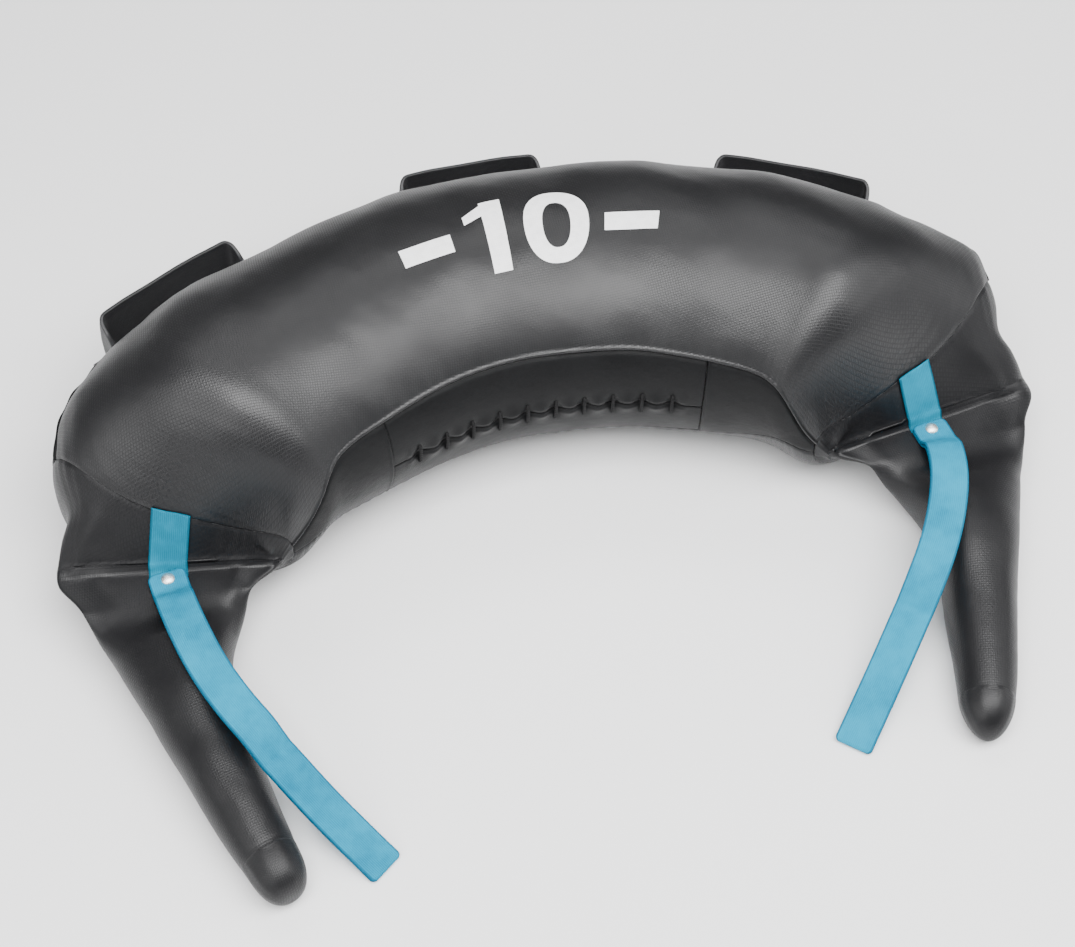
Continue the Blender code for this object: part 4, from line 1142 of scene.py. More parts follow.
@dataclass(frozen=True)
class GrainedVinyl:
    """Black coated fabric whose woven backing shows through as a fine grid."""

    name: str = "grained_vinyl"
    shade: tuple = (0.0030, 0.0030, 0.0036)
    light_shade: tuple = (0.0060, 0.0060, 0.0070)
    roughness: float = 0.33
    pitch: float = 1.6 * MM
    depth: float = 0.085 * MM
    gloss: float = 0.46

    def make(self) -> Material:
        """Weave of square cells with narrow grooves, fine grain, and worn patches of sheen.

        Returns:
            The material.
        """
        paint = Paint(self.name)
        place = paint.place()
        cells, crossing = paint.weave(self.pitch, 0.55)
        cells = cells + crossing * 0.22
        cloud = paint.noise(place, 0.045, 3.0)
        shown = cloud.ramp(0.34, 0.66, 0.70, 1.0)
        grain = paint.noise(place, 0.9 * MM, 3.0, 0.6)
        wrinkle = paint.noise(place, 6.0 * MM, 2.0)
        soft = paint.bump(wrinkle, 0.22 * MM, 0.5)
        fine = paint.bump(cells * shown + grain * 0.35, self.depth, 1.0, soft)
        colour = paint.blend(cells.ramp(0.1, 0.9) * 0.6 + cloud * 0.3, self.shade, self.light_shade)
        rough = cloud.ramp(0.25, 0.75, self.roughness - 0.02, self.roughness + 0.03)
        rough = rough + (1.0 - cells.ramp(0.25, 0.85)) * shown * 0.22 + grain * 0.04
        return paint.finish(Base_Color=colour, Roughness=rough, Normal=fine,
                            Specular_IOR_Level=self.gloss)


@dataclass(frozen=True)
class SmoothVinyl:
    """Plain black vinyl with a fine pebbled grain, used for the strip and neck; the handles take a
    paler copy whose extra lightness is painted light.
    """

    name: str = "smooth_vinyl"
    shade: tuple = (0.0028, 0.0029, 0.0032)
    light_shade: tuple = (0.0062, 0.0064, 0.0070)
    roughness: float = 0.46
    gloss: float = 0.14
    pebble: float = 1.1 * MM

    def make(self) -> Material:
        """Rounded pebbles between shallow veins, with soft waves below them.

        Returns:
            The material.
        """
        paint = Paint(self.name)
        place = paint.place()
        cells = paint.node("ShaderNodeTexVoronoi", {"feature": "DISTANCE_TO_EDGE"}, {
            "Vector": place, "Scale": 1.0 / self.pebble})
        pebbles = cells.ramp(0.0, 0.22)
        wave = paint.noise(place, 7.0 * MM, 2.0)
        cloud = paint.noise(place, 0.035, 2.0)
        soft = paint.bump(wave, 0.6 * MM, 0.5)
        fine = paint.bump(pebbles, 0.035 * MM, 1.0, soft)
        colour = paint.blend(pebbles * 0.5 + cloud * 0.4, self.shade, self.light_shade)
        rough = cloud.ramp(0.3, 0.7, self.roughness - 0.04, self.roughness + 0.05)
        return paint.finish(Base_Color=colour, Roughness=rough, Normal=fine,
                            Specular_IOR_Level=self.gloss)


@dataclass(frozen=True)
class BlueWebbing:
    """Sky-blue woven webbing, 25 mm wide, with close ribs and a firm edge."""

    name: str = "blue_webbing"
    shade: tuple = (0.000, 0.100, 0.180)
    light_shade: tuple = (0.000, 0.245, 0.390)
    width: float = WEBBING_WIDTH
    rib: float = 1.25 * MM
    pick: float = 0.85 * MM

    def make(self) -> Material:
        """Ribs along the webbing, crossed by picks that step over at each rib.

        Returns:
            The material.
        """
        paint = Paint(self.name)
        u, v = paint.surface()
        place = paint.place()
        ribs = abs((u * (np.pi / self.rib)).sine()) ** 0.6
        lean = v * (2.0 * np.pi / self.pick) + (u * (2.0 * np.pi / (self.rib * 2.0))).sine() * 1.2
        picks = lean.sine() * 0.5 + 0.5
        weave = ribs * 0.65 + picks * 0.35
        edge = abs(u).ramp(self.width / 2 - 1.6 * MM, self.width / 2 - 0.7 * MM)
        cloud = paint.noise(place, 9.0 * MM, 3.0)
        fuzz = paint.noise(place, 0.5 * MM, 2.0)
        drift = paint.noise(place, 0.055, 1.0).ramp(0.35, 0.65, -0.16, 0.10)
        tone = (weave * 0.45 + cloud * 0.5 + fuzz * 0.12 + drift + 0.06) * (1.0 - edge * 0.75)
        colour = paint.blend(tone.ramp(0.1, 0.95), self.shade, self.light_shade)
        normal = paint.bump(weave + fuzz * 0.25, 0.16 * MM, 0.9)
        return paint.finish(Base_Color=colour, Roughness=0.85, Normal=normal,
                            Specular_IOR_Level=0.12)


@dataclass(frozen=True)
class Nickel:
    """Bright nickel plating with faint polishing marks."""

    name: str = "nickel_plate"
    shade: tuple = (0.95, 0.94, 0.92)
    roughness: float = 0.42

    def make(self) -> Material:
        """Metal whose roughness varies in fine streaks.

        Returns:
            The material.
        """
        paint = Paint(self.name)
        place = paint.place()
        marks = paint.noise(place, 0.7 * MM, 4.0)
        rough = marks.ramp(0.3, 0.75, self.roughness - 0.05, self.roughness + 0.12)
        tone = paint.blend(marks, tuple(c * 0.86 for c in self.shade), self.shade)
        normal = paint.bump(marks, 0.02 * MM, 0.5)
        return paint.finish(Base_Color=tone, Metallic=1.0, Roughness=rough, Normal=normal)


@dataclass(frozen=True)
class TwistedCord:
    """Waxed black cord of twisted strands."""

    name: str = "waxed_cord"
    shade: tuple = (0.0015, 0.0015, 0.0017)
    light_shade: tuple = (0.006, 0.006, 0.0065)
    twist: float = 1.9 * MM
    around: float = 6.3 * MM

    def make(self) -> Material:
        """Strands that slant round the cord: a wave in the length plus the way round.

        Returns:
            The material.
        """
        paint = Paint(self.name)
        u, v = paint.surface()
        phase = u * (2.0 * np.pi / self.twist) + v * (4.0 * np.pi / self.around)
        strands = abs((phase * 0.5).sine())
        fuzz = paint.noise(paint.place(), 0.4 * MM, 2.0)
        colour = paint.blend(strands * 0.7 + fuzz * 0.3, self.shade, self.light_shade)
        normal = paint.bump(strands + fuzz * 0.2, 0.22 * MM, 1.0)
        return paint.finish(Base_Color=colour, Roughness=0.72, Normal=normal,
                            Specular_IOR_Level=0.2)


@dataclass(frozen=True)
class PrintedWhite:
    """White ink printed on the vinyl, with the weave showing faintly through it."""

    name: str = "white_print"
    shade: tuple = (0.90, 0.90, 0.91)
    worn: tuple = (0.74, 0.74, 0.75)
    pitch: float = 1.55 * MM

    def make(self) -> Material:
        """Even ink with a trace of the grid below and slight wear.

        Returns:
            The material.
        """
        paint = Paint(self.name)
        cells, _ = paint.weave(self.pitch, 0.5)
        wear = paint.noise(paint.place(), 5.0 * MM, 4.0, 0.6)
        colour = paint.blend(cells * 0.5 + wear.ramp(0.3, 0.6) * 0.5, self.worn, self.shade)
        normal = paint.bump(cells, 0.05 * MM, 0.6)
        return paint.finish(Base_Color=colour, Roughness=0.5, Normal=normal)


@dataclass(frozen=True)
class InnerCloth:
    """Undyed cloth or wool of the filling, which stays out of sight."""

    name: str
    shade: tuple
    light_shade: tuple
    size: float

    def make(self) -> Material:
        """Matted fibres: two sizes of noise.

        Returns:
            The material.
        """
        paint = Paint(self.name)
        place = paint.place()
        tufts = paint.noise(place, self.size * 6.0, 4.0, 0.65)
        fibres = paint.noise(place, self.size, 3.0, 0.7)
        colour = paint.blend(tufts * 0.6 + fibres * 0.4, self.shade, self.light_shade)
        normal = paint.bump(tufts * 0.7 + fibres * 0.3, self.size * 1.5, 0.9)
        return paint.finish(Base_Color=colour, Roughness=0.92, Normal=normal)


def made(look: type, *values: Union[str, float, tuple], **named: float) -> Material:
    """Field that holds the material of a finish with the given values."""
    return field(default_factory=lambda: look(*values, **named).make())


@dataclass
class Finishes:
    """All the finishes of the bag, made once."""

    grained: Material = made(GrainedVinyl)
    grip: Material = made(GrainedVinyl, "grip_vinyl", gloss=0.31)
    smooth: Material = made(SmoothVinyl)
    # Paler copy of the smooth vinyl for the handles, keepers and patches; its lighter colour is
    # painted light on the handles' shaded faces.
    strip: Material = made(SmoothVinyl, "padded_vinyl", (0.012, 0.012, 0.013),
                           (0.020, 0.020, 0.022), 0.44, 0.36)
    webbing: Material = made(BlueWebbing)
    tab: Material = made(BlueWebbing, "blue_webbing_tab", (0.000, 0.085, 0.140),
                         (0.000, 0.200, 0.310))
    nickel: Material = made(Nickel)
    cord: Material = made(TwistedCord)
    ink: Material = made(PrintedWhite)
    wool: Material = made(InnerCloth, "wool_wadding", (0.30, 0.28, 0.24), (0.52, 0.50, 0.45),
                          1.2 * MM)
    sacking: Material = made(InnerCloth, "pouch_cloth", (0.24, 0.21, 0.16), (0.42, 0.38, 0.31),
                             0.6 * MM)


class Slot(Enum):
    """The record's material slots, one named beside each new piece."""

    GRAINED = "textured_vinyl"
    SMOOTH = "smooth_vinyl"
    WEBBING = "blue_webbing"
    NICKEL = "nickel"
    LACE = "black_lace"
    WOOL = "wadding"
    POUCH = "pouch_cloth"


def keep(piece: Object, slot: Slot, body: Union[str, tuple], *nodes: str) -> None:
    """Attach a piece to its body, or leave it where it is when it spans two, and hide the CAD nodes
    that it stands for.

    Args:
        piece: the finished object.
        slot: the record's slot of its finish; not used.
        body: body name, or two names and two points for a piece that spans a joint, which is then
            attached to neither.
        nodes: CAD nodes that it stands for.
    """
    if isinstance(body, tuple):
        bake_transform(piece)
    else:
        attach(piece, body)
    if nodes:
        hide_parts(*nodes)
    log.info("%s on %s", piece.name, body if isinstance(body, str) else body[:2])


# The body's skins


@dataclass
class BodySkins:
    """Front and back panels, the strip on the outer curve and the four neck pieces."""

    finishes: Finishes
    relief: Relief
    lift: float = 0.1 * MM
    wall: float = 1.7 * MM
    fill: float = 0.85
    gather_pitch: float = 12.0 * MM
    end_gather_pitch: float = 9.0 * MM
    lip_edge: float = 0.9 * MM
    lip_puff: float = 3.2 * MM
    lip_sunk: float = 1.1 * MM

    def panel(self, name: str, first: Callable[[Array], Array], last: Callable[[Array], Array],
              rows: int, columns: int, hems: tuple[bool, bool],
              material: Material, pucker: float) -> Object:
        """One long panel that runs between the end seams.

        Formula: points of the body's form, raised by the relief, the drawn-in seams and the
        gathers beside them.

        Args:
            name: the piece's name.
            first: angle of the first edge for each length.
            last: angle of the last edge for each length.
            rows: grid rows along the bag.
            columns: grid columns across the panel.
            hems: whether the first and the last edge carry a standing hem.
            material: finish.
            pucker: height of the gathers beside the long seams.

        Returns:
            The piece.
        """
        share = 2.0 * crowded(rows, 0.75)[:, None] - 1.0
        mix = crowded(columns, 0.55)[None, :]
        s = share * BODY.end_seam(90.0) + 0.0 * mix
        for _ in range(3):
            low, high = first(s), last(s)
            angle = low + (high - low) * mix
            s = share * (BODY.end_seam(angle) - SEAM_GAP)
        base = BODY.point(s, angle)
        normal = unit(grid_normals(base, BODY.centre(s, angle)) * 0.02 + BODY.normal(s, angle))
        radius = BODY.section(s)[1] * 1.03
        to_first = np.radians(np.abs(angle - low)) * radius
        to_last = np.radians(np.abs(high - angle)) * radius
        to_end = BODY.end_seam(angle) - SEAM_GAP - np.abs(s)
        height = self.lift + self.relief.at(base)
        for distance, hem, phase in ((to_first, hems[0], 0.0), (to_last, hems[1], 0.4)):
            height += seam_hem(distance) if hem else seam_tuck(distance)
            height += puckers(s + phase, distance, self.gather_pitch, pucker)
        height += seam_tuck(to_end, 0.35 * MM, 0.8 * MM)
        around = np.radians(angle) * radius
        height += puckers(around, to_end, self.end_gather_pitch, pucker * 1.2)
        points = base + normal * height[..., None]
        points[..., 2] = np.maximum(points[..., 2], FLOOR_PLAY)
        return open_sheet(name, points, BODY.flat_plan(s, angle), material, self.wall, INSIDE)

    def lip(self, name: str, sign: float, material: Material) -> Object:
        """One lip of the laced slit, with an edge that puffs out between the stitches.

        Formula: the skin is drawn in along its seams and where the cord holds it, and bulges by
        a cosine wave between the stitches.

        Args:
            name: the piece's name.
            sign: 1 for the front lip, -1 for the back one.
            material: finish.

        Returns:
            The piece.
        """
        span = BODY.neck_seam_at - SEAM_GAP
        share = 2.0 * crowded(380, 0.3)[:, None] - 1.0
        mix = crowded(34, 0.5)[None, :]
        s = share * span + 0.0 * mix
        far = BODY.neck_edge(s)
        near = np.degrees(self.lip_edge / (BODY.height / 2))
        turn = far + (near - far) * mix
        angle = 180.0 - sign * turn
        base = BODY.point(s, angle)
        normal = grid_normals(base, BODY.centre(s, angle))
        radius = BODY.height / 2
        to_seam, to_slit = np.radians(far - turn) * radius, np.radians(turn - near) * radius
        to_end = span - np.abs(s)
        phase = 2.0 * np.pi * s / STITCH_PITCH + np.pi * (STITCHES % 2 + 1)
        between = 0.5 - 0.5 * np.cos(phase)
        laced = np.clip((STITCHES * STITCH_PITCH / 2 - np.abs(s)) / 0.008, 0.0, 1.0)
        edge = bell(to_slit, 6.5 * MM)
        height = self.lift + 0.6 * self.relief.at(base) * (1.0 - 0.6 * edge)
        height += seam_tuck(to_seam, 0.9 * MM, 2.2 * MM) + seam_tuck(to_end, 0.3 * MM, 0.8 * MM)
        height += laced * edge * (self.lip_puff * between - self.lip_sunk)
        height -= laced * MM * bell(to_slit - 0.5 * MM, 1.2 * MM)
        points = base + normal * height[..., None]
        pattern = strip_pattern(s, np.radians(turn) * radius)
        return open_sheet(name, points, pattern, material, self.wall, BEHIND_NECK)

    def gusset(self, name: str, side: Side, material: Material) -> Object:
        """Pointed end of the neck, from the cross seam to the end seam.

        Formula: the body's form between the neck's edges, raised by the relief and drawn in
        along its seams.

        Args:
            name: the piece's name.
            side: its side.
            material: its finish.

        Returns:
            The piece.
        """
        share = crowded(150, 0.6)[:, None]
        mix = crowded(56, 0.6)[None, :]
        s = np.full((150, 56), 0.2)
        start = BODY.neck_seam_at + SEAM_GAP
        for _ in range(4):
            far = BODY.neck_edge(s)
            angle = 180.0 - far + 2.0 * far * mix
            s = start + (BODY.end_seam(angle) - SEAM_GAP - start) * share
        base = BODY.point(s * side.value, angle)
        normal = grid_normals(base, BODY.centre(s * side.value, angle))
        radius = BODY.section(s)[1]
        to_front = np.radians(far * 2.0 * mix) * radius
        to_back = np.radians(far * 2.0 * (1.0 - mix)) * radius
        height = self.lift + self.relief.at(base) + seam_tuck(to_front, 0.9 * MM, 2.2 * MM)
        height += seam_tuck(to_back) + seam_hem(s - start, 0.55 * MM)
        height += seam_tuck(BODY.end_seam(angle) - s, 0.6 * MM, 1.0 * MM)
        points = base + normal * height[..., None]
        pattern = strip_pattern(s, np.radians(angle - 180.0) * radius)
        behind = BODY.centre(0.2 * side.value, 180.0)
        return open_sheet(name, points, pattern, material, self.wall, behind)

    def make(self) -> None:
        """Build every skin and ride it on the bag."""
        smooth, grained = self.finishes.smooth, self.finishes.grained
        turn = np.degrees(SEAM_GAP / (BODY.height / 2))
        spine = BODY.spine_half_angle

        def level(angle: float) -> Callable[[Array], Array]:
            """Edge that stays at one angle."""
            return lambda s: np.full_like(s, angle)

        front = self.panel("front_skin", level(spine + turn),
                           lambda s: 180.0 - BODY.neck_edge(s) - turn, 330, 110,
                           (False, True), grained, 0.10 * MM)
        back = self.panel("back_skin", level(-spine - turn),
                          lambda s: -180.0 + BODY.neck_edge(s) + turn, 330, 90,
                          (False, False), grained, 0.22 * MM)
        strip = self.panel("outer_strip_skin", level(-spine + turn), level(spine - turn), 360, 44,
                           (True, True), smooth, 0.45 * MM)
        for piece, node in ((front, "front_panel"), (back, "back_panel")):
            keep(piece, Slot.GRAINED, "bag", node)
        keep(strip, Slot.SMOOTH, "bag", "outer_strip")
        for word, sign in (("front", 1.0), ("back", -1.0)):
            node = "neck_lip_" + word
            keep(self.lip(node + "_skin", sign, smooth), Slot.SMOOTH, "bag", node)
        for side in Side:
            node = "neck_gusset_" + side.word
            keep(self.gusset(node + "_skin", side, smooth), Slot.SMOOTH, "bag", node)


@dataclass
class PlainNumber:
    """The number ten with a plain bar on each side, printed across the top of the front panel."""

    finishes: Finishes
    relief: Relief
    middle: tuple[float, float] = (0.0115, 94.0)
    tall: float = 0.052
    lean: float = 0.10
    height: float = 0.28 * MM
    one_at: float = -0.029
    stem: float = 0.0135
    flag: float = 0.0125
    nought_at: float = 0.019
    nought_width: float = 0.044
    nought_weight: float = 0.0125
    bar_ends: tuple = ((-0.0885, -0.0525), (0.0515, 0.0875))
    bar_half_height: float = 0.0065

    def _surface(self, x: Array, y: Array) -> tuple[Array, Array]:
        """Carry flat lettering onto the skin: x along the bag, y up across it.

        Formula: the body's form, raised along its normals by the relief and a little more.

        Args:
            x: lengths along the bag.
            y: lengths up across it.

        Returns:
            Points just above the skin, and their pattern positions.
        """
        s = self.middle[0] + x + self.lean * y
        angle = self.middle[1] - np.degrees(y / (BODY.height / 2 * 1.03))
        base = BODY.point(s, angle)
        normal = grid_normals(base, BODY.centre(s, angle))
        points = base + normal * (self.height + self.relief.at(base))[..., None]
        return points, BODY.flat_plan(s, angle)

    def stroke(self, cloth: Cloth, corners: Sequence[tuple[float, float]]) -> None:
        """A four-cornered stroke, as a grid between its two long sides.

        Args:
            cloth: the print so far.
            corners: the corners in order.
        """
        a, b, c, d = (np.array(corner) for corner in corners)
        t = np.linspace(0.0, 1.0, 40)[:, None, None]
        q = np.linspace(0.0, 1.0, 22)[None, :, None]
        flat = (a * (1 - t) + d * t) * (1 - q) + (b * (1 - t) + c * t) * q
        cloth.add_grid(*self._surface(flat[..., 0], flat[..., 1]))

    def ring(self, cloth: Cloth, centre: float, wide: float, weight: float) -> None:
        """The nought: a grid between an outer and an inner squared oval.

        Args:
            cloth: the print so far.
            centre: its middle along the bag.
            wide: its width.
            weight: how thick its sides are.
        """
        t = np.linspace(0.0, 2.0 * np.pi, 97)[:, None]
        q = np.linspace(0.0, 1.0, 12)[None, :]
        half_x = wide / 2 - weight * q
        half_y = self.tall / 2 - weight * 0.80 * q
        power = 0.86
        x = centre + half_x * round_power(np.cos(t), power)
        y = half_y * round_power(np.sin(t), power)
        cloth.add_grid(*self._surface(x, y))

    def make(self) -> None:
        """Build the print as one thin piece."""
        cloth = Cloth("plain_number")
        half, bar = self.tall / 2, self.bar_half_height
        left, stem, flag = self.one_at, self.stem, self.flag
        self.stroke(cloth, [(left, -half), (left + stem, -half), (left + stem, half), (left, half)])
        self.stroke(cloth, [(left - flag, half * 0.40), (left, half * 0.56),
                            (left + stem * 0.3, half), (left - flag, half * 0.66)])
        self.ring(cloth, self.nought_at, self.nought_width, self.nought_weight)
        for low, high in self.bar_ends:
            self.stroke(cloth, [(low, -bar), (high, -bar), (high, bar), (low, bar)])
        piece = cloth.build(self.finishes.ink, outside_of=INSIDE - UP * 0.03)
        keep(piece, Slot.GRAINED, "bag")


# Horns


@dataclass(frozen=True)
class GripShape:
    """What differs between the two grips, as the photograph shows them.

    cap_dome is how far the closed end stands past its seam, cap_power its squareness, where 2
    is round, and cap_taper the share by which it narrows. lean is the share by which the inner
    side of the flare is drawn in, and flare lets the outer side out. waist draws in the yoke's
    outer side before its ear, and ring is the depth of the groove at the cap's seam.
    """

    cap_dome: float
    cap_power: float
    cap_taper: float
    lean: float
    flare: float
    waist: float
    ring: float


GRIPS = {Side.LEFT: GripShape(29.0 * MM, 3.1, 0.10, 0.13, 4.0 * MM, 9.0 * MM, 0.12 * MM),
         Side.RIGHT: GripShape(25.5 * MM, 2.25, 0.17, 0.30, 13.6 * MM, 5.0 * MM, 0.04 * MM)}


@dataclass
class Horn:
    """Yoke, crease and grip of one side as one sewn skin that bends at the crease."""

    side: Side
    finishes: Finishes
    relief: Relief
    columns: int = 128
    lift: float = 0.1 * MM
    wall: float = 1.6 * MM
    fill: float = 0.95
    cap_length: float = 17.0 * MM
    yoke_count: int = 54
    dome_count: int = 26
    crease_ridge: float = 0.8 * MM
    cap_gather: float = 0.14 * MM
    bend_before: float = 11.0 * MM
    bend_after: float = 5.5 * MM

    @property
    def shape(self) -> GripShape:
        """What is this side's own."""
        return GRIPS[self.side]

    @property
    def body(self) -> str:
        """Body on which the grip rides."""
        return "grip_" + self.side.word

    @property
    def cap_seam(self) -> float:
        """Distance of the cap's seam from the crease."""
        return HORN.reach - self.cap_length

    @property
    def angle(self) -> Array:
        """Angles of the grid's columns, as one row."""
        return (np.arange(self.columns) * 360.0 / self.columns)[None, :]

    def surface(self, d: Array, angle: Array, inset: float = 0.0) -> Array:
        """Points of this side's grip, not yet mirrored, at a depth below its surface."""
        return HORN.point(d, angle, self.shape.lean, inset, self.shape.flare)

    def rounded(self, rows: Array, place: Array) -> Array:
        """Round the ears in plan.

        Formula: each row's plan becomes the mean of the rows near it, under a bell that is
        widest at the crease.

        Args:
            rows: grid of points.
            place: each row's distance past the crease.

        Returns:
            The grid, with its heights as they were.
        """
        into = np.clip((place - place[0]) / 0.014, 0.0, 1.0) ** 2
        width = 7.5 * MM * bell(place, 0.018) * into + 0.01 * MM
        share = bell(place[:, None] - place, width[:, None]) * np.gradient(place)
        share /= share.sum(axis=1, keepdims=True)
        plan = np.einsum("ij,jkl->ikl", share, rows[..., :2])
        return np.concatenate([plan, rows[..., 2:]], axis=-1)

    def yoke_rows(self, share: Array) -> tuple[Array, Array]:
        """Base points of the yoke, from the end seam to the crease.

        Formula: the body's form, whose sides spread under a bell to meet the grip's ears and
        are drawn in under another before them.

        Args:
            share: each row's share of the way.

        Returns:
            The points and their lengths along the bag.
        """
        start = BODY.end_seam(self.angle) + SEAM_GAP
        s = start + (BODY.crease_at - 0.4 * MM - start) * share[:, None]
        points, middle = BODY.point(s, self.angle), BODY.centre(s, self.angle)
        ears = self.surface(np.array([0.6 * MM]), np.array([0.0, 180.0]))
        across = (ears - HORN.origin) @ HORN.out
        half = BODY.crease_width / 2
        turn = np.cos(np.radians(self.angle))
        before = BODY.crease_at - s
        growth = np.where(turn > 0.0, across[0] / half, -across[1] / half) - 1.0
        growth = growth * np.abs(turn) * bell(before, 0.012)
        growth -= self.shape.waist / half * np.clip(turn, 0.0, 1.0) * bell(before - 0.0175, 0.009)
        away = points - middle
        away[..., 2] = 0.0
        return points + away * growth[..., None], s

    def grip_rows(self) -> Array:
        """Distances of the grip's rows from the crease, close together at both its ends.

        Returns:
            The distances, as one column.
        """
        seam, near = self.cap_seam, 10.0 * MM
        return np.concatenate([
            np.linspace(0.0006, 0.012, 22), np.linspace(0.0125, 0.060, 42)[1:],
            np.linspace(0.060, seam - near, 66)[1:],
            np.linspace(seam - near, seam, 14)[1:]])[:, None]

    def dome(self, rim: Array) -> Array:
        """Rows of the round end: rings that shrink to the tip.

        Formula: the seam's ring, made smaller by a power of a cosine while it goes ahead by the
        same power of the sine.

        Args:
            rim: points of the cap's seam.

        Returns:
            Grid of points.
        """
        middle, shape = rim.mean(axis=0), self.shape
        heading = HORN.line(self.cap_seam)[2]
        ahead = np.array([np.cos(heading), -np.sin(heading), 0.0])
        turn = np.linspace(0.004, 0.995, self.dome_count)[:, None, None] * np.pi / 2
        share = np.sin(turn) ** (2.0 / shape.cap_power)
        ring = np.cos(turn) ** (2.0 / shape.cap_power) * (1.0 - shape.cap_taper * share)
        drop = UP * (rim[:, 2].max() - middle[2]) * 0.42 * (1.0 - ring)
        return middle - drop + (rim - middle)[None] * ring + ahead * shape.cap_dome * share

    def heights(self, base: Array, s: Array, d: Array) -> Array:
        """Heights of the skin above its base points.

        Formula: the relief, stilled at the rims of the flat sections; the end seam's tuck and
        gathers; a ridge along the crease; a groove at the cap's seam, and gathers that fade
        toward the tip.

        Args:
            base: grid of points, not yet mirrored.
            s: lengths of the yoke's rows.
            d: distances of the grip's rows.

        Returns:
            Grid of heights.
        """
        rows, cap_row = len(s), len(s) + len(d)
        turn = np.radians(self.angle)
        slope = np.abs(np.sin(turn))
        past_seam = s - BODY.end_seam(self.angle)
        square = np.zeros(base.shape[:2])
        square[:rows] = BODY.section(s)[3] - 2.0
        square[rows:cap_row] = HORN.sizes(d)[3] - 2.0
        rim = np.clip(square / 1.3, 0.0, 1.0) * (1.0 - ease((slope - 0.12) / 0.55))
        rim[:rows] *= ease(past_seam / 0.022)
        height = self.lift + self.relief.at(base * self.side.mirror) * (1.0 - rim)
        height[:rows] += seam_tuck(past_seam, 0.55 * MM, 0.9 * MM)
        height[:rows] += puckers(turn * 0.08, past_seam, 9.0 * MM, 0.4 * MM)
        past_crease = np.concatenate([s - BODY.crease_at, d + 0.0 * turn])
        height[:cap_row] += self.crease_ridge * bell(past_crease + 0.2 * MM, MM) * slope ** 0.5
        height[rows:cap_row] -= self.shape.ring * bell(d - self.cap_seam + 2.0 * MM, 1.2 * MM)
        gathers = self.cap_gather * np.sin(turn * 11.0 + 1.3 * np.sin(turn * 2.0))
        fading = np.linspace(1.0, 0.0, len(base) - cap_row)[:, None] ** 1.5
        height[cap_row:] = (height[cap_row:] + gathers) * fading
        return height

    def pattern(self, points: Array, s: Array, cap_row: int) -> Array:
        """Pattern positions of the skin.

        Formula: the flat panel's plan on the yoke, lengths round and along the grip, and on
        the cap circles whose radius is the run to the tip.

        Args:
            points: grid of points, not yet mirrored.
            s: lengths of the yoke's rows.
            cap_row: first row of the cap.

        Returns:
            Grid of positions with one more column than the points.
        """
        around = np.linspace(0.0, 360.0, self.columns + 1)[None, :]
        yoke = BODY.flat_plan(np.concatenate([s, s[:, :1]], axis=1), around)
        ringed = np.concatenate([points, points[:, :1]], axis=1)
        girth = np.linalg.norm(np.diff(ringed, axis=1), axis=-1)
        length = np.concatenate([np.zeros((len(points), 1)), np.cumsum(girth, axis=1)], axis=1)
        along = run_along(points.mean(axis=1))[:, None]
        grip = strip_pattern(length - length.mean(axis=1, keepdims=True) * 0.5, along)
        rings = np.linalg.norm(np.diff(points[cap_row:], axis=0), axis=-1).mean(axis=1)
        radius = np.concatenate([np.cumsum(rings[::-1])[::-1], [0.0]])[:, None]
        turn = np.radians(around)
        grip[cap_row:] = strip_pattern(radius * np.cos(turn), radius * np.sin(turn))
        return np.concatenate([yoke, grip[len(s):]])

    def grid(self) -> tuple[Array, Array]:
        """Points of the whole skin and their pattern positions.

        Formula: yoke, grip and dome as one grid, raised along its normals, which near the end seam
        are the body's own.

        Returns:
            Grid of points, and a grid of positions with one more column.
        """
        d = self.grip_rows()
        yoke, s = self.yoke_rows(crowded(self.yoke_count, 0.75))
        grip = self.surface(d, self.angle)
        place = np.concatenate([s.mean(axis=1) - BODY.crease_at, d[:, 0]])
        sewn = self.rounded(np.concatenate([yoke, grip]), place)
        dome = self.dome(sewn[-1])
        base = np.concatenate([sewn, dome])
        middle = np.concatenate([HORN.centre(d), dome.mean(axis=1, keepdims=True)])
        inside = np.concatenate([BODY.centre(s, self.angle),
                                 np.repeat(middle, self.columns, axis=1)])
        normal = grid_normals(base, inside, wrap=True)
        share = ease((BODY.crease_at - s - 6.0 * MM) / (12.0 * MM))[..., None]
        plain = BODY.normal(s, self.angle)
        normal[:len(s)] = unit(normal[:len(s)] * (1.0 - share) + plain * share)
        points = base + normal * self.heights(base, s, d)[..., None]
        points[..., 2] = np.maximum(points[..., 2], FLOOR_PLAY)
        return points * self.side.mirror, self.pattern(points, s, len(sewn))

    def bend(self) -> tuple:
        """Bodies and points between which the skin turns at the crease.

        Returns:
            Two bodies and two points.
        """
        start, end = ((HORN.origin + HORN.ahead * run) * self.side.mirror
                      for run in (-self.bend_before, self.bend_after))
        return ("bag", self.body, start, end)

    def make(self) -> None:
        """Build the skin, the rivet and its washer."""
        word = self.side.word
        cloth = Cloth("horn_%s_skin" % word)
        cloth.add_grid(*self.grid(), wrap=True, caps=(False, True))
        piece = cloth.build(self.finishes.grip, self.wall)
        keep(piece, Slot.GRAINED, self.bend(), "yoke_" + word, "grip_shell_" + word,
             "tip_cap_" + word)
        self.rivet()

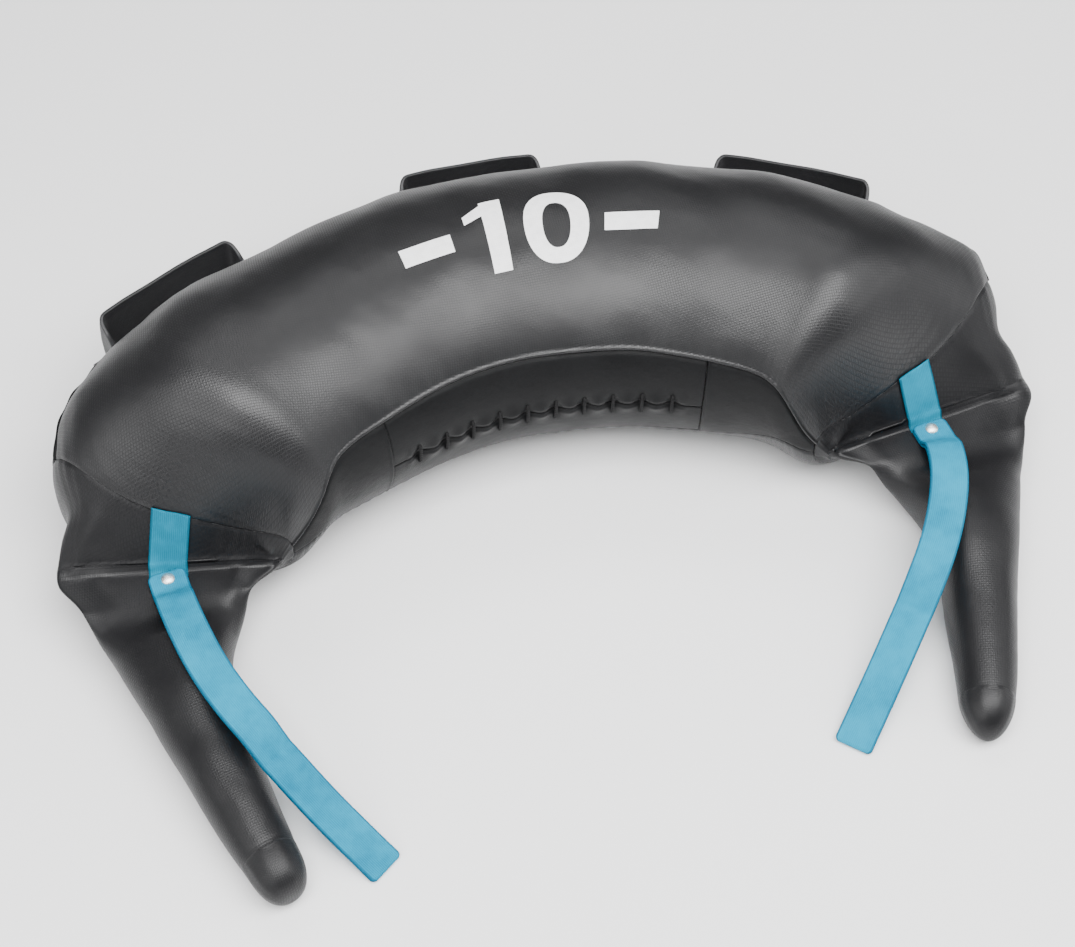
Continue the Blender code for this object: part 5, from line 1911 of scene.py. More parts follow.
    def rivet(self) -> None:
        """Domed rivet head with its shank, and the washer under the band."""
        band = HORN.band_thick / 2
        head = np.array([(0.25, 2.46), (0.9, 2.42), (1.7, 2.25), (2.6, 1.95), (3.4, 1.50),
                         (4.05, 0.95), (4.4, 0.50), (4.5, 0.20), (4.42, 0.02), (2.3, 0.0)]) * MM
        tail = np.array([(2.3, -2.0), (1.8, -2.6), (0.3, -2.7)]) * MM
        rim = np.array([(2.6, 0.0), (4.6, 0.0), (4.95, -0.25), (4.95, -0.8), (4.6, -1.1),
                        (2.6, -1.1)]) * MM
        pin = np.concatenate([head + (0.0, band + 3.65 * MM), tail - (0.0, band)])
        self.lathe("rivet_" + self.side.word, pin, True)
        self.lathe("rivet_washer_" + self.side.word, rim - (0.0, band + 0.3 * MM), False)

    def lathe(self, node: str, profile: Array, closed: bool) -> None:
        """Turn a profile about the rivet's line.

        Formula: each profile point goes round a circle of its own radius.

        Args:
            node: CAD node that the piece stands for.
            profile: radius and height of each point.
            closed: whether both ends are closed by a fan; a ring's ends are joined instead.
        """
        turn = np.linspace(0.0, 2.0 * np.pi, 49)[:-1]
        radius, level = profile[:, :1, None], profile[:, 1:, None]
        round_out = np.cos(turn)[:, None] * HORN.out + np.sin(turn)[:, None] * HORN.ahead
        points = (HORN.rivet + radius * round_out + level * UP) * self.side.mirror
        cloth = Cloth(node + "_dressed")
        wide = strip_pattern(np.linspace(0.0, 0.02, 49)[None, :], profile[:, 1:])
        cloth.add_grid(points, wide, wrap=True, caps=(closed, closed), joined=not closed)
        keep(cloth.build(self.finishes.nickel), Slot.NICKEL, self.body, node)


# Webbing


@dataclass(frozen=True)
class StrapShape:
    """How one strap lies: its swing inward, its turn on the way and how late that turn comes."""

    swing: float
    turn: float
    bend_power: float


STRAPS = {Side.LEFT: StrapShape(np.radians(15.0), np.radians(31.0), 1.5),
          Side.RIGHT: StrapShape(np.radians(1.0), np.radians(50.0), 0.48)}


@dataclass
class Webbing:
    """Blue webbing of one side: the tab over the yoke, and the doubled strap under the rivet."""

    side: Side
    finishes: Finishes
    relief: Relief
    width: float = WEBBING_WIDTH
    thick: float = 1.6 * MM
    space: float = 0.6 * MM
    length: float = 0.245
    crest: float = 0.0150
    turn_share: float = 0.60
    eye_length: float = 11.5 * MM
    fold_gap: float = 0.9 * MM
    corner: float = 2.4 * MM
    wave: float = 0.45 * MM
    dent: float = 0.55 * MM
    cup: float = 0.35 * MM
    tab_rows: int = 40
    tab_lift: float = 1.2 * MM
    tab_hump: float = 0.5 * MM

    @property
    def shape(self) -> StrapShape:
        """What is this side's own."""
        return STRAPS[self.side]

    @property
    def out(self) -> Array:
        """Across the strap at the rivet."""
        return HORN.out * np.cos(self.shape.swing) + HORN.ahead * np.sin(self.shape.swing)

    @property
    def ahead(self) -> Array:
        """Along the strap at the rivet."""
        return HORN.ahead * np.cos(self.shape.swing) - HORN.out * np.sin(self.shape.swing)

    @property
    def start(self) -> float:
        """Distance from the rivet to the fold from which the strap lifts."""
        return self.eye_length / 2 + self.fold_gap

    @property
    def base(self) -> float:
        """Height of the strap's middle above the band's middle at the rivet."""
        return HORN.band_thick / 2 + 0.3 * MM + self.thick

    def line(self) -> tuple[Array, Array]:
        """Middle line and heading of the whole strap, from behind the rivet to the far fold.

        Formula: a smooth curve through a few heights, which rises over the grip and comes down
        to the floor, while the heading turns by a power of the share of the way.

        Returns:
            Points in the strap's frame, and headings.
        """
        last = 1.0 - 0.020 * np.linspace(1.0, 0.0, 19)[1:] ** 1.4
        steps = np.concatenate([np.linspace(0.0, 0.980, 146), last])
        share = np.clip(steps / self.turn_share, 0.0, 1.0)
        headings = self.shape.turn * share ** self.shape.bend_power
        floor = self.thick + self.space / 2 + HORN.floor_play + 0.5 * MM - HORN.rivet[2]
        drop, crest = floor - self.base, self.crest
        z = self.base + smooth_knots(
            steps, [0.0, 0.07, 0.22, 0.37, 0.50, 0.62, 0.80, 1.0],
            [0.0, crest * 0.56, crest, crest, crest * 0.80, drop * 0.11, drop * 0.60, drop])
        run = np.sqrt(np.maximum((np.diff(steps) * self.length) ** 2 - np.diff(z) ** 2, 1e-9))
        mean = (headings[1:] + headings[:-1]) / 2
        eye = np.linspace(-self.eye_length / 2, self.start, 13)[:-1]
        flat = np.zeros(len(eye))
        x = np.concatenate([flat, [0.0], np.cumsum(-run * np.sin(mean))])
        y = np.concatenate([eye, [self.start], self.start + np.cumsum(run * np.cos(mean))])
        z = np.concatenate([flat + self.base, z])
        return np.stack([x, y, z], -1), np.concatenate([flat, headings])

    def outline(self) -> tuple[Array, Array]:
        """Rounded outline of one layer of webbing: its places across and through the layer.

        Formula: two flat faces joined by half ovals.

        Returns:
            The places across and through, in order.
        """
        half, thin, corner = self.width / 2, self.thick / 2, 0.55 * MM
        top = np.linspace(-half + corner, half - corner, 11)
        turn = np.linspace(0.0, np.pi, 7)[1:-1]
        edge_x = half - corner + corner * np.sin(turn)
        edge_y = thin * np.cos(turn)
        x = np.concatenate([top, edge_x, top[::-1], -edge_x[::-1]])
        y = np.concatenate([np.full(11, thin), edge_y, np.full(11, -thin), edge_y[::-1]])
        return x, y

    def strap(self) -> Object:
        """The doubled strap: one layer out along the lower side, round the fold and back on top.

        Formula: the layer's outline is carried along a path that lies half a layer and half the
        space below the strap's middle line, goes round its end and comes back above it.

        Returns:
            The piece.
        """
        line, headings = self.line()
        across = np.stack([np.cos(headings), np.sin(headings), 0.0 * headings], -1)
        tangent = unit(np.gradient(line, axis=0))
        normal = unit(np.cross(across, tangent))
        normal *= np.where(normal[:, 2:] < 0.0, -1.0, 1.0)
        run = run_along(line)
        total = run[-1]
        past_fold = self.start + self.eye_length / 2
        loose = np.clip((run - past_fold) / 0.02, 0.0, 1.0)
        wave = self.wave * np.sin(run / 0.021 + 0.7 * self.side.value)
        wave = wave * loose * (1.0 - run / total * 0.6)
        dent = self.dent * bell(run - total * 0.63, 2.2 * MM)
        line = line + normal * (wave - dent)[:, None]
        apart = (self.thick + self.space) / 2 + 0.12 * MM * loose * np.sin(run / 0.013) ** 2
        apart += 0.22 * MM * bell(total - run, 6.0 * MM)
        turn = np.linspace(0.0, np.pi, 12)[1:-1, None]
        facing = tangent[-1] * np.sin(turn) - normal[-1] * np.cos(turn)
        deep = apart[-1] * 1.15
        bend = line[-1] - normal[-1] * apart[-1] * np.cos(turn) + tangent[-1] * deep * np.sin(turn)
        spread = normal * apart[:, None]
        path = np.concatenate([line - spread, bend, (line + spread)[::-1]])
        out = np.concatenate([-normal, facing, normal[::-1]])
        side = np.concatenate([across, np.repeat(across[-1:], len(turn), axis=0), across[::-1]])
        place = np.concatenate([run, total + deep * np.sin(turn[:, 0]), run[::-1]])
        upper = np.concatenate([-np.ones(len(run)), np.zeros(len(turn)), np.ones(len(run))])
        cup = upper * self.cup * np.clip((place - past_fold) / 0.02, 0.0, 1.0)
        x, y = self.outline()
        wide = x * self.narrowing(place, total + deep)[:, None]
        lift = y - cup[:, None] * (wide / (self.width / 2)) ** 2
        grid = path[:, None] + side[:, None] * wide[..., None] + out[:, None] * lift[..., None]
        pattern = strip_pattern(np.concatenate([x, x[:1]])[None], run_along(path)[:, None])
        return closed_tube("strap_%s_dressed" % self.side.word, self.place(grid), pattern,
                           self.finishes.webbing)

    def narrowing(self, place: Array, end: float) -> Array:
        """Share of the full width at each place: round at the eye and at the far corners.

        Formula: a quarter of an ellipse at the start and of a circle at the end.

        Args:
            place: lengths along the strap.
            end: length at its far end.

        Returns:
            The shares.
        """
        near_start = np.clip(place / (4.5 * MM), 0.0, 1.0)
        into = np.clip(self.corner - (end - place), 0.0, self.corner * 0.98)
        cut = (self.corner - np.sqrt(self.corner ** 2 - into ** 2)) / (self.width / 2)
        return 1.0 - 0.34 * (1.0 - np.sqrt(1.0 - (1.0 - near_start) ** 2)) - cut

    def place(self, local: Array) -> Array:
        """Carry points from the strap's frame at the rivet to the bag."""
        world = HORN.rivet + local @ np.stack([self.out, self.ahead, UP])
        return world * self.side.mirror

    def tab(self) -> Object:
        """The tab: webbing that lies on the yoke from the end seam to under the strap.

        Formula: straight rows on the yoke and the band, raised by the relief, with a hump over
        the crease past which the webbing thins and sinks.

        Returns:
            The piece.
        """
        across = np.linspace(-self.width / 2, self.width / 2, 17)[None, :]
        share = np.linspace(0.0, 1.0, self.tab_rows)[:, None]
        angle = np.full((self.tab_rows, 17), 90.0)
        for _ in range(4):
            begin = BODY.end_seam(angle) - 1.0 * MM
            s = begin + (BODY.crease_at - 0.6 * MM - begin) * share
            half_width, _, _, square = BODY.section(s)
            angle = angle_across(across, half_width, square)
        d = np.linspace(0.4 * MM, 9.0 * MM, 14)[:, None]
        half_width, _, _, square = HORN.dressed_sizes(d)
        band = HORN.point(d, angle_across(across, half_width, square))
        base = np.concatenate([BODY.point(s, angle), band])
        normal = grid_normals(base, base - UP * 0.05)
        row = np.arange(len(base))[:, None] - self.tab_rows
        sunk = np.clip(row / 8.0, 0.0, 1.0)
        lie = self.tab_lift + np.maximum(self.relief.at(base * self.side.mirror), -0.3 * MM)
        lie = lie * (1.0 - 0.75 * sunk) + self.tab_hump * bell(row, 2.6)
        middle = base + normal * lie[..., None]
        edge = 1.0 - 0.35 * (np.abs(across) > self.width / 2 - 0.5 * MM)
        half = normal * (self.thick / 2 * (1.0 - 0.55 * sunk) * edge)[..., None]
        ring = np.concatenate([middle + half, (middle - half)[:, ::-1]], axis=1)
        u = np.concatenate([across[0], across[0][::-1], across[0][:1]])[None]
        pattern = strip_pattern(u, run_along(middle[:, 8])[:, None])
        return closed_tube("tab_%s_dressed" % self.side.word, ring * self.side.mirror, pattern,
                           self.finishes.tab)

    def make(self, horn: Horn) -> None:
        """Build the tab and the strap.

        Args:
            horn: the horn of the same side.
        """
        word = self.side.word
        keep(self.tab(), Slot.WEBBING, horn.bend(), "strap_tab_" + word)
        strap = self.strap()
        fold = self.start - 0.3 * MM
        start, end = (self.place(np.array([0.0, fold + run, self.base]))
                      for run in (-2.2 * MM, 4.0 * MM))
        keep(strap, Slot.WEBBING, ("strap_root_" + word, "strap_" + word, start, end),
             "strap_eye_" + word, "strap_loop_" + word)


# Handles


@dataclass(frozen=True)
class HandlePlace:
    """Where a handle stands: at a length along the bag, on the line that its joint turns on."""

    at: float
    span: float = 0.122

    @staticmethod
    def outer(s: float) -> Array:
        """Point on the outer curve of the plain body, along which the joint is set.

        Args:
            s: length along the bag.

        Returns:
            The point.
        """
        x, y, heading = BODY.plain_line(s)
        half_width, _, middle, _ = BODY.plain_section(s)
        sign = -1.0 if s < 0.0 else 1.0
        x, y = x + half_width * np.sin(heading), y + half_width * np.cos(heading)
        return np.array([sign * x, y, middle])

    def rate(self, s: float) -> float:
        """Middle-line length for a unit of length on the outer curve."""
        return 0.010 / float(np.linalg.norm(self.outer(s + 0.005) - self.outer(s - 0.005)))

    @property
    def ends(self) -> tuple[float, float]:
        """Lengths along the bag of the two keepers."""
        half = self.span / 2
        return (self.at - half * self.rate(self.at - half / 2),
                self.at + half * self.rate(self.at + half / 2))

    def frame(self) -> tuple[Array, Array, Array, float]:
        """Origin, direction along the chord, direction outward, and half the chord.

        Returns:
            The three vectors and the length.
        """
        a, b = (self.outer(s) for s in self.ends)
        along, origin = unit(b - a), (a + b) / 2
        out = np.array([-along[1], along[0], 0.0])
        if out @ (origin - BODY.centre(self.at, 0.0)) < 0.0:
            out = -out
        origin[2] = float(BODY.section(self.at)[2])
        return origin, along, out, float(np.linalg.norm(b - a)) / 2

    def carry(self, local: Array) -> Array:
        """Carry points from the handle's frame to the bag."""
        origin, along, out, _ = self.frame()
        return origin + local @ np.stack([along, out, UP])


@dataclass
class Handle:
    """One padded band on the outer curve, with the two sewn keepers that hold its ends."""

    word: str
    finishes: Finishes
    wide: float = 0.041
    thick: float = 3.4 * MM
    stand: float = 0.0265
    bar: float = 3.4 * MM
    axis_stand: float = 5.8 * MM
    bow: float = 1.6 * MM
    corner: float = 7.0 * MM
    keeper_length: float = 0.014
    keeper_half_width: float = 0.0135
    keeper_wall: float = 2.2 * MM
    keeper_lift: float = 0.35 * MM
    patch_lift: float = 0.25 * MM
    patch_height: float = 1.45 * MM
    patch_wall: float = 0.9 * MM
    stitch_depth: float = 0.45 * MM
    stitch_rate: float = 0.55 * MM
    seam_share: float = 0.84
    patch_half_length: float = 0.0165
    patch_half_height: float = 0.0205

    @property
    def spot(self) -> HandlePlace:
        """Where it stands."""
        return HandlePlace(HANDLES[self.word])

    def staple(self) -> tuple[Array, Array]:
        """Corner points of the band's line, from keeper to keeper, and the run to each.

        Formula: a foot in the keeper, a leg, a quarter circle and a top that bows outward, and
        then the same mirrored.

        Returns:
            Points along the chord and outward, and the runs.
        """
        origin, _, out, half = self.spot.frame()
        bulge = float((BODY.point(self.spot.at, 0.0) - origin) @ out)
        stand = self.stand + max(bulge, 0.0) * 0.6
        keeper, low, corner = self.keeper_length / 2, self.axis_stand, self.corner
        leg = half - keeper - self.thick * 1.2
        foot = np.array([[-half - keeper - 1.2 * MM, low], [-half, low], [-half + keeper, low],
                         [-leg - 0.8 * MM, low + 1.4 * MM], [-leg, low + 5.0 * MM],
                         [-leg, low + (stand - corner - low) * 0.7]])
        turn = np.linspace(np.pi / 2, 0.0, 9)
        bend = np.stack([corner * (1.0 - np.sin(turn)) - leg,
                         stand - corner * (1.0 - np.cos(turn))], -1)
        top = np.array([[-leg * 0.55, stand + self.bow * 0.7],
                        [-leg * 0.25, stand + self.bow * 0.95], [0.0, stand + self.bow]])
        path = np.concatenate([foot, bend, top])
        path = np.concatenate([path, path[:-1][::-1] * np.array([-1.0, 1.0])])
        return path, run_along(path)

    def band(self) -> Object:
        """The band: a padded section carried along the staple-shaped line.

        Formula: a squared oval, fuller in its middle and stitched down near its edges, whose
        sizes go from the round bar in the keeper to the wide flat band; its line is smoothed.

        Returns:
            The piece.
        """
        path, run = self.staple()
        leg_end, bend_end, middle = run[5], run[14], run[-1] / 2
        bar, thin, wide = self.bar, self.thick / 2, self.wide / 2
        places = np.concatenate([np.linspace(0.0, leg_end, 26)[:-1],
                                 np.linspace(leg_end, bend_end, 26)[:-1],
                                 np.linspace(bend_end, middle, 26)])
        places = np.concatenate([places, run[-1] - places[:-1][::-1]])
        line = np.stack([np.interp(places, run, path[:, i]) for i in (0, 1)], -1)
        for _ in range(3):
            line[1:-1] = line[1:-1] * 0.5 + (line[:-2] + line[2:]) * 0.25
        tangent = unit(np.gradient(line, axis=0))
        face = np.stack([-tangent[:, 1], tangent[:, 0]], -1)
        near = np.minimum(places, run[-1] - places)
        half_wide = smooth_knots(
            near, [0.0, *run[2:6], run[8], run[12], middle],
            [bar, bar, bar * 1.05, bar * 1.7, wide * 0.66, wide * 0.92, wide, wide])
        half_thin = smooth_knots(near, [0.0, *run[2:6], middle],
                                 [bar, bar, bar, thin * 1.3, thin, thin])
        turns = np.arange(40) * 2.0 * np.pi / 40
        square = np.where(half_wide <= bar * 1.06, 1.0, 0.36)[:, None]
        up = half_wide[:, None] * round_power(np.sin(turns), square)
        off = half_thin[:, None] * round_power(np.cos(turns), square)
        flat = np.clip((half_wide / wide - 0.7) / 0.3, 0.0, 1.0)[:, None]
        rel = up / half_wide[:, None]
        seam = bell(np.abs(rel) - self.seam_share, 0.05)
        off = off * (1.0 + 0.30 * flat * np.cos(rel * np.pi / 2) ** 2 - 0.18 * flat * seam)
        wave = 0.25 * MM * np.sin(places[:, None] / 0.0085 + rel * 1.3)
        lie = off + flat * (wave - 0.9 * MM * rel ** 2)
        plan = line[:, None] + face[:, None] * lie[..., None]
        pattern = strip_pattern(np.linspace(0.0, 0.09, 41)[None], places[:, None])
        return closed_tube("handle_%s_dressed" % self.word,
                           self.spot.carry(np.concatenate([plan, up[..., None]], axis=-1)),
                           pattern, self.finishes.strip)

    def keeper(self, part: str, centre: float, s_mid: float) -> Object:
        """A sewn keeper over one end of the bar.

        Formula: a strip that follows the skin, arches over the bar and follows it again.

        Args:
            part: the keeper's letter.
            centre: its place along the chord.
            s_mid: its length along the bag.

        Returns:
            The piece.
        """
        reach = np.linspace(-0.5, 0.5, 13)[:, None] * self.keeper_length
        middle = self.bar + 0.3 * MM + self.keeper_wall / 2
        arch = np.radians(np.linspace(-84.0, 84.0, 23))[None, :]
        wing = np.linspace(self.keeper_half_width, middle + 0.6 * MM, 12)[None, :]

        def skin(z: Array) -> Array:
            """Points on the outer strip at heights z above the body's middle.

            Args:
                z: the heights.

            Returns:
                Grid of points.
            """
            turn = np.degrees(np.arcsin(z / (BODY.height / 2)))
            s = s_mid + reach * self.spot.rate(s_mid)
            return BODY.off(s, turn, self.keeper_lift + self.keeper_wall / 2)

        local = np.stack(np.broadcast_arrays(
            centre + reach, self.axis_stand + middle * np.cos(arch), middle * np.sin(arch)), -1)
        grid = np.concatenate([skin(-wing), self.spot.carry(local), skin(wing[:, ::-1])], axis=1)
        for _ in range(2):
            grid[:, 1:-1] = grid[:, 1:-1] * 0.5 + (grid[:, :-2] + grid[:, 2:]) * 0.25
        pattern = strip_pattern(np.linspace(0.0, 0.04, grid.shape[1])[None], reach)
        return open_sheet("handle_%s_keeper_%s_dressed" % (self.word, part), grid, pattern,
                          self.finishes.strip, self.keeper_wall * 0.82,
                          BODY.centre(s_mid, 0.0), inward=False)

    def patch(self, part: str, s_mid: float) -> Object:
        """A doubled square of vinyl sewn on under the keeper.

        Formula: the outer strip's surface, raised to a soft edge and drawn in along a line of
        stitches set back from it.

        Args:
            part: the keeper's letter.
            s_mid: its length along the bag.

        Returns:
            The piece.
        """
        along = np.linspace(-1.0, 1.0, 61)[:, None] * self.patch_half_length
        up = np.linspace(-1.0, 1.0, 69)[None, :] * self.patch_half_height
        edge = np.minimum(self.patch_half_length - np.abs(along),
                          self.patch_half_height - np.abs(up))
        stitch = np.sin(along / self.stitch_rate) * np.sin(up / self.stitch_rate)
        height = self.patch_height * (1.0 - np.exp(-(edge + 0.15 * MM) / (0.5 * MM)))
        height -= self.stitch_depth * bell(edge - 3.0 * MM, 0.5 * MM) * (0.8 + 0.2 * stitch)
        turn = np.degrees(np.arcsin(up / (BODY.height / 2)))
        s = s_mid + along * self.spot.rate(s_mid)
        grid = BODY.off(s, turn, height + self.patch_lift)
        return open_sheet("handle_%s_patch_%s" % (self.word, part), grid, strip_pattern(along, up),
                          self.finishes.strip, self.patch_wall, BODY.centre(s_mid, 0.0))

    def make(self) -> None:
        """Build the band, both keepers and their patches."""
        half = self.spot.frame()[3]
        keep(self.band(), Slot.SMOOTH, "handle_" + self.word, "handle_" + self.word)
        for part, centre, s_mid in zip("ab", (-half, half), self.spot.ends):
            keep(self.keeper(part, centre, s_mid), Slot.SMOOTH, "bag",
                 "handle_%s_keeper_%s" % (self.word, part))
            keep(self.patch(part, s_mid), Slot.SMOOTH, "bag")


# Lace and stitches


@dataclass
class Lace:
    """The waxed cord that closes the neck: a bar over the slit at each stitch."""

    finishes: Finishes
    radius: float = 1.25 * MM
    turn: float = np.degrees(0.0080 / (BODY.height / 2))
    out: float = 1.3 * MM
    sunk: float = 4.0 * MM
    cut: float = 1.1 * MM
    sides: int = 12

    def corners(self) -> Array:
        """Corner points of the whole route, from one tucked end to the other.

        Returns:
            The points.
        """
        turn, out, sunk, tuck = self.turn, self.out, self.sunk, STITCH_PITCH * 0.55
        places = (np.arange(STITCHES) - (STITCHES - 1) / 2) * STITCH_PITCH
        bar = np.array([(turn, -sunk), (turn, out), (0.0, out + 0.2 * MM), (-turn, out),
                        (-turn, -sunk)])
        s = np.concatenate([[places[0] - tuck], np.repeat(places, len(bar)), [places[-1] + tuck]])
        rest = np.concatenate([[(-turn * 0.3, -sunk)], np.tile(bar, (STITCHES, 1)),
                               [(turn * 0.3, -sunk)]])
        return BODY.off(s, 180.0 + rest[:, 0], rest[:, 1])

    def path(self) -> Array:
        """Smooth route: each corner is cut three times, which leaves a close curve.

        Returns:
            The points.
        """
        points = self.corners()
        for _ in range(3):
            step = np.diff(points, axis=0)
            near = np.minimum(0.25, self.cut / np.linalg.norm(step, axis=1, keepdims=True))
            cut = np.stack([points[:-1] + step * near, points[1:] - step * near], 1)
            points = np.concatenate([points[:1], cut.reshape(-1, 3), points[-1:]])
        return points

    def make(self) -> None:
        """Build the cord as one closed tube.

        Formula: rings round the path in a frame that turns with it as little as it can.
        """
        path = self.path()
        tangent = unit(np.gradient(path, axis=0))
        across = np.empty_like(path)
        side = unit(np.cross(tangent[0], UP))
        for i, t in enumerate(tangent):
            side = unit(side - t * (side @ t))
            across[i] = side
        turn = (np.arange(self.sides) * 2.0 * np.pi / self.sides)[None, :, None]
        ring = np.cos(turn) * across[:, None] + np.sin(turn) * np.cross(tangent, across)[:, None]
        run = run_along(path)
        around = np.linspace(0.0, 2.0 * np.pi * self.radius, self.sides + 1)[None]
        pattern = strip_pattern(run[:, None], around)
        piece = closed_tube("closing_lace_dressed", path[:, None] + self.radius * ring, pattern,
                            self.finishes.cord)
        keep(piece, Slot.LACE, "bag", "closing_lace")
        log.info("lace length %.3f m", run[-1])


# Name, place, aim, size and power of each light.
LIGHTS = (("key", (0.10, -0.62, 1.80), (0.08, -0.34, 0.05), (2.2, 1.2), 108.0),
          ("back panel", (0.10, 1.15, 1.75), (0.0, 0.05, 0.05), (1.9, 0.6), 17.0),
          ("left box", (-1.60, -0.75, 1.10), (-0.2, 0.0, 0.08), (1.5, 1.3), 19.0),
          ("right box", (1.60, -0.60, 1.10), (0.2, 0.0, 0.08), (1.4, 1.3), 20.0),
          ("front box", (-1.45, -1.75, 1.25), (0.0, 0.0, 0.08), (1.3, 0.9), 11.0))


@dataclass
class Studio:
    """Pale floor, soft lights and the camera at the photograph's angle."""

    heading: float = np.radians(-16.29)
    height: float = np.radians(54.0)
    roll: float = np.radians(2.29)
    distance: float = 1.44372
    focal: float = 2213.07
    frame_width: float = 1075.0
    sensor: float = 36.0
    target: tuple = (-0.0133, -0.0140, 0.070)
    floor_reach: float = 6.0
    sky: float = 0.16

    def camera(self) -> None:
        """Camera from the fitted heading, height, roll, distance and focal length."""
        back = np.array([np.sin(self.heading) * np.cos(self.height),
                         -np.cos(self.heading) * np.cos(self.height), np.sin(self.height)])
        right = np.array([np.cos(self.heading), np.sin(self.heading), 0.0])
        up = np.cross(back, right)
        c, s = np.cos(self.roll), np.sin(self.roll)
        right, up = c * right + s * up, -s * right + c * up
        eye = np.array(self.target) + back * self.distance
        data = bpy.data.cameras.new("view")
        data.sensor_width = self.sensor
        data.sensor_fit = "HORIZONTAL"
        data.lens = self.sensor * self.focal / self.frame_width
        matrix = np.eye(4)
        matrix[:3] = np.stack([right, up, back, eye], axis=1)
        made = linked("view", data)
        made.matrix_world = Matrix(matrix.tolist())
        bpy.context.scene.camera = made

    def light(self, name: str, place: tuple, aim: tuple, size: tuple, power: float) -> None:
        """One rectangular soft light that faces its aim.

        Args:
            name: its name.
            place: where it stands.
            aim: the point that it faces.
            size: its width and height.
            power: its power in watts.
        """
        data = bpy.data.lights.new(name, "AREA")
        data.shape = "RECTANGLE"
        data.size, data.size_y = size
        data.energy = power
        made = linked(name, data)
        made.location = place
        made.rotation_euler = (Vector(aim) - Vector(place)).to_track_quat("-Z", "Y").to_euler()

    def floor(self) -> None:
        """A pale matt floor with the faintest unevenness."""
        paint = Paint("pale_floor")
        cloud = paint.noise(paint.place(), 0.4, 2.0)
        colour = paint.blend(cloud, (0.80, 0.80, 0.805), (0.83, 0.83, 0.835))
        material = paint.finish(Base_Color=colour, Roughness=0.7)
        mesh = bpy.data.meshes.new("floor")
        reach = self.floor_reach
        mesh.from_pydata([(-reach, -reach, 0.0), (reach, -reach, 0.0), (reach, reach, 0.0),
                          (-reach, reach, 0.0)], [], [(0, 1, 2, 3)])
        mesh.materials.append(material)
        linked("floor", mesh)

    def make(self) -> None:
        """Set up the camera, the floor, the world and the lights."""
        self.camera()
        self.floor()
        world = bpy.data.worlds.new("soft_white")
        bpy.context.scene.world = world
        world.use_nodes = True
        sky = world.node_tree.nodes["Background"]
        sky.inputs["Color"].default_value = (1.0, 1.0, 1.0, 1.0)
        sky.inputs["Strength"].default_value = self.sky
        for light in LIGHTS:
            self.light(*light)


# The whole bag


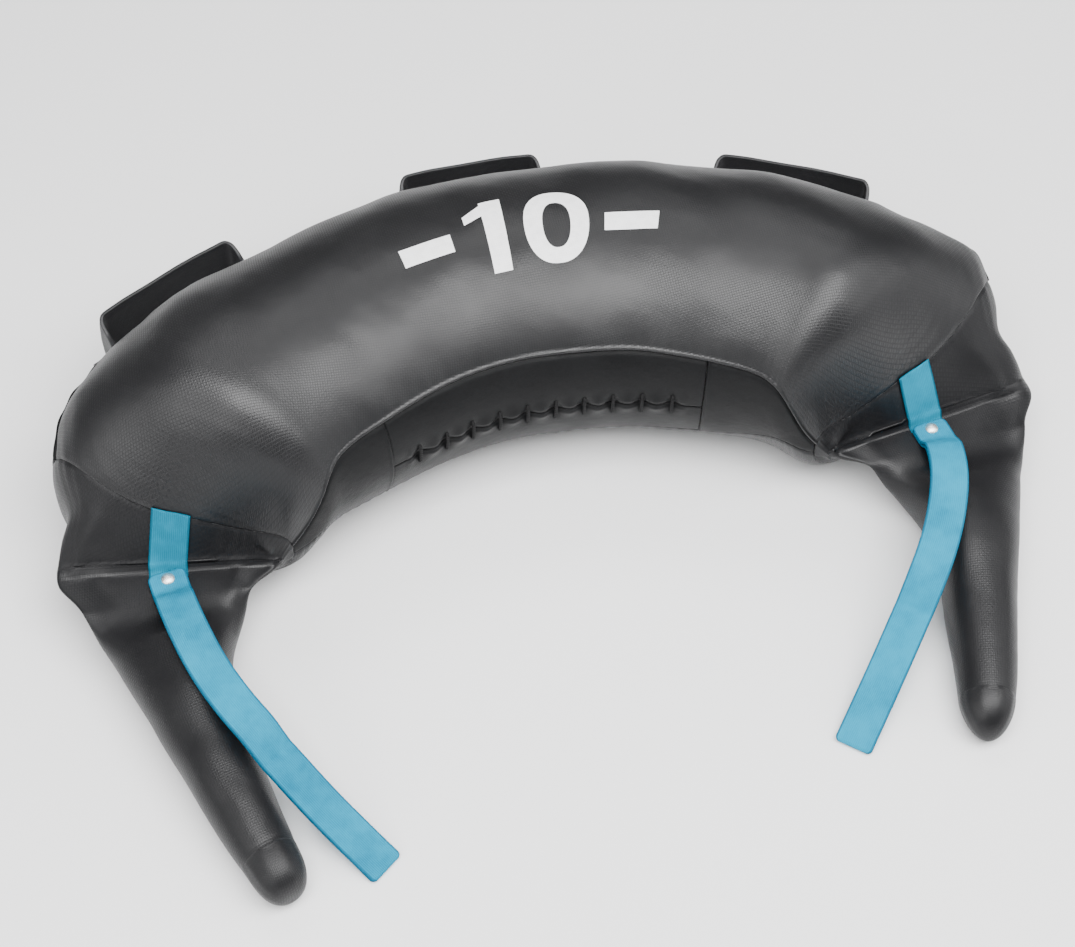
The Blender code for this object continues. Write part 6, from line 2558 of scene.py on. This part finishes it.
def bag_relief() -> Relief:
    """Unevenness of the whole bag: waves of the filling, folds at the yokes and shoulders.

    Returns:
        The relief, still at the rivets and under the handles' keepers.
    """
    grip, shoulder, crease = HORN.point, BODY.point, BODY.crease_at

    def yoke(share: float, angle: float) -> Array:
        """Point on the right yoke, by the share of the way from the seam to the crease."""
        start = BODY.end_seam(angle)
        return BODY.point(start + (crease - start) * share, angle)

    # Each fold's ends, its height and width in millimetres, and the share of that height which
    # it has at the left and at the right.
    runs = [
        (yoke(1.0, 166.0), yoke(0.10, 126.0), 2.4, 4.5, 1.0, 0.8),
        (yoke(1.0, 170.0), yoke(0.20, 150.0), -2.4, 4.2, 1.0, 1.0),
        (yoke(1.0, 174.0), yoke(0.35, 172.0), 2.0, 4.0, 0.9, 1.1),
        (yoke(0.95, 150.0), yoke(0.50, 112.0), -1.6, 4.5, 1.0, 0.7),
        (yoke(1.0, 38.0), yoke(0.25, 62.0), 1.7, 6.5, 1.0, 0.8),
        (yoke(0.95, 25.0), yoke(0.30, 40.0), -1.9, 6.0, 0.8, 1.1),
        (yoke(0.72, 2.0), yoke(0.40, 14.0), -3.6, 7.5, 1.0, 1.0),
        (grip(0.006, 150.0), grip(0.044, 160.0), -3.2, 6.5, 1.0, 0.8),
        (grip(0.004, 168.0), grip(0.050, 172.0), 2.2, 5.0, 1.0, 0.9),
        (grip(0.006, 122.0), grip(0.034, 136.0), 1.5, 5.0, 0.9, 0.7),
        (grip(0.007, 24.0), grip(0.036, 16.0), -2.2, 6.0, 0.9, 1.1),
        (grip(0.008, 58.0), grip(0.040, 66.0), 1.2, 7.0, 0.9, 0.8),
        (shoulder(0.212, 17.0), shoulder(0.204, 46.0), -2.3, 6.0, 0.6, 1.0),
        (shoulder(0.238, 18.0), shoulder(0.226, 50.0), -2.8, 6.5, 0.5, 1.0),
        (shoulder(0.188, 18.0), shoulder(0.184, 40.0), -1.6, 5.0, 0.5, 1.0),
        (shoulder(0.225, 17.0), shoulder(0.216, 48.0), 1.8, 6.0, 0.6, 1.0),
        (shoulder(0.262, 14.0), shoulder(0.244, 38.0), 1.8, 7.0, 0.5, 1.0),
        (yoke(0.0, 150.0), shoulder(0.215, 118.0), -1.6, 8.0, 1.0, 0.8),
        (yoke(0.0, 158.0), shoulder(0.225, 140.0), 1.3, 6.0, 1.0, 0.8),
    ]
    folds = [Fold(start * side.mirror, end * side.mirror, height * share * MM, width * MM)
             for start, end, height, width, *shares in runs for side, share in zip(Side, shares)]
    # Each swelling's middle, its height in millimetres and its reach.
    fullness = [
        (shoulder(0.258, 12.0), 10.5, 0.038), (yoke(0.4, 8.0), 11.0, 0.040),
        (shoulder(-0.250, 8.0), 5.0, 0.050), (shoulder(0.100, 50.0), 3.5, 0.075),
        (shoulder(-0.02, 46.0), 2.0, 0.060), (shoulder(0.206, 22.0), 3.4, 0.013),
        (shoulder(0.234, 14.0), 3.0, 0.012), (shoulder(0.262, 20.0), 3.0, 0.014),
        (yoke(0.9, 5.0), 3.0, 0.016)]
    return Relief(
        [Ripple(3, 0.105, 1.3 * MM), Ripple(11, 0.046, 0.38 * MM), Ripple(29, 0.019, 0.06 * MM)],
        folds,
        [Calm((HORN.rivet + UP * 0.004) * side.mirror, 0.026) for side in Side],
        [Swelling(centre, height * MM, reach) for centre, height, reach in fullness],
        [Calm(BODY.point(s, 0.0), 0.030) for at in HANDLES.values() for s in HandlePlace(at).ends])


@dataclass
class Filling:
    """Wool round the sand pouches and the tight cores of the grips, all inside the skins."""

    finishes: Finishes
    depth: float = 4.4 * MM
    wool: float = 6.0 * MM
    end_play: float = 12.0 * MM
    skin: float = 3.6 * MM

    def sleeve(self) -> None:
        """The sleeve of wool: the body's form drawn in by the vinyl and a little play."""
        reach = BODY.end_seam(90.0) - self.end_play
        s = (np.linspace(-1.0, 1.0, 140) * reach)[:, None]
        grid = BODY.off(s, (np.arange(72) * 5.0)[None, :], -self.depth)
        pattern = strip_pattern(s, np.linspace(0.0, 0.5, 73)[None])
        piece = closed_tube("wadding_sleeve_wool", grid, pattern, self.finishes.wool, self.wool)
        keep(piece, Slot.WOOL, "bag", "wadding_sleeve")

    def core(self, horn: Horn) -> None:
        """A grip's core: the horn's form drawn in by its skin.

        Args:
            horn: the horn of its side.
        """
        d = np.linspace(0.030, HORN.reach - 0.008, 60)[:, None]
        grid = horn.surface(d, (np.arange(48) * 7.5)[None, :], self.skin) * horn.side.mirror
        node = "grip_core_" + horn.side.word
        pattern = strip_pattern(d, np.linspace(0.0, 0.15, 49)[None])
        piece = closed_tube(node + "_wool", grid, pattern, self.finishes.wool)
        keep(piece, Slot.WOOL, horn.body, node)

    def pouches(self) -> None:
        """Give the sand pouches their cloth."""
        for number in range(1, 6):
            pouch = bpy.data.objects["sand_pouch_%d" % number]
            pouch.data.materials.clear()
            pouch.data.materials.append(self.finishes.sacking)


def main() -> None:
    """Build and dress the whole bag."""
    logging.basicConfig(level=logging.INFO, format="%(message)s")
    Studio().make()
    finishes = Finishes()
    relief = bag_relief()
    BodySkins(finishes, relief).make()
    PlainNumber(finishes, relief).make()
    filling = Filling(finishes)
    filling.sleeve()
    filling.pouches()
    for side in Side:
        horn = Horn(side, finishes, relief)
        horn.make()
        Webbing(side, finishes, relief).make(horn)
        filling.core(horn)
    for word in HANDLES:
        Handle(word, finishes).make()
    Lace(finishes).make()


if __name__ == "__main__":
    main()
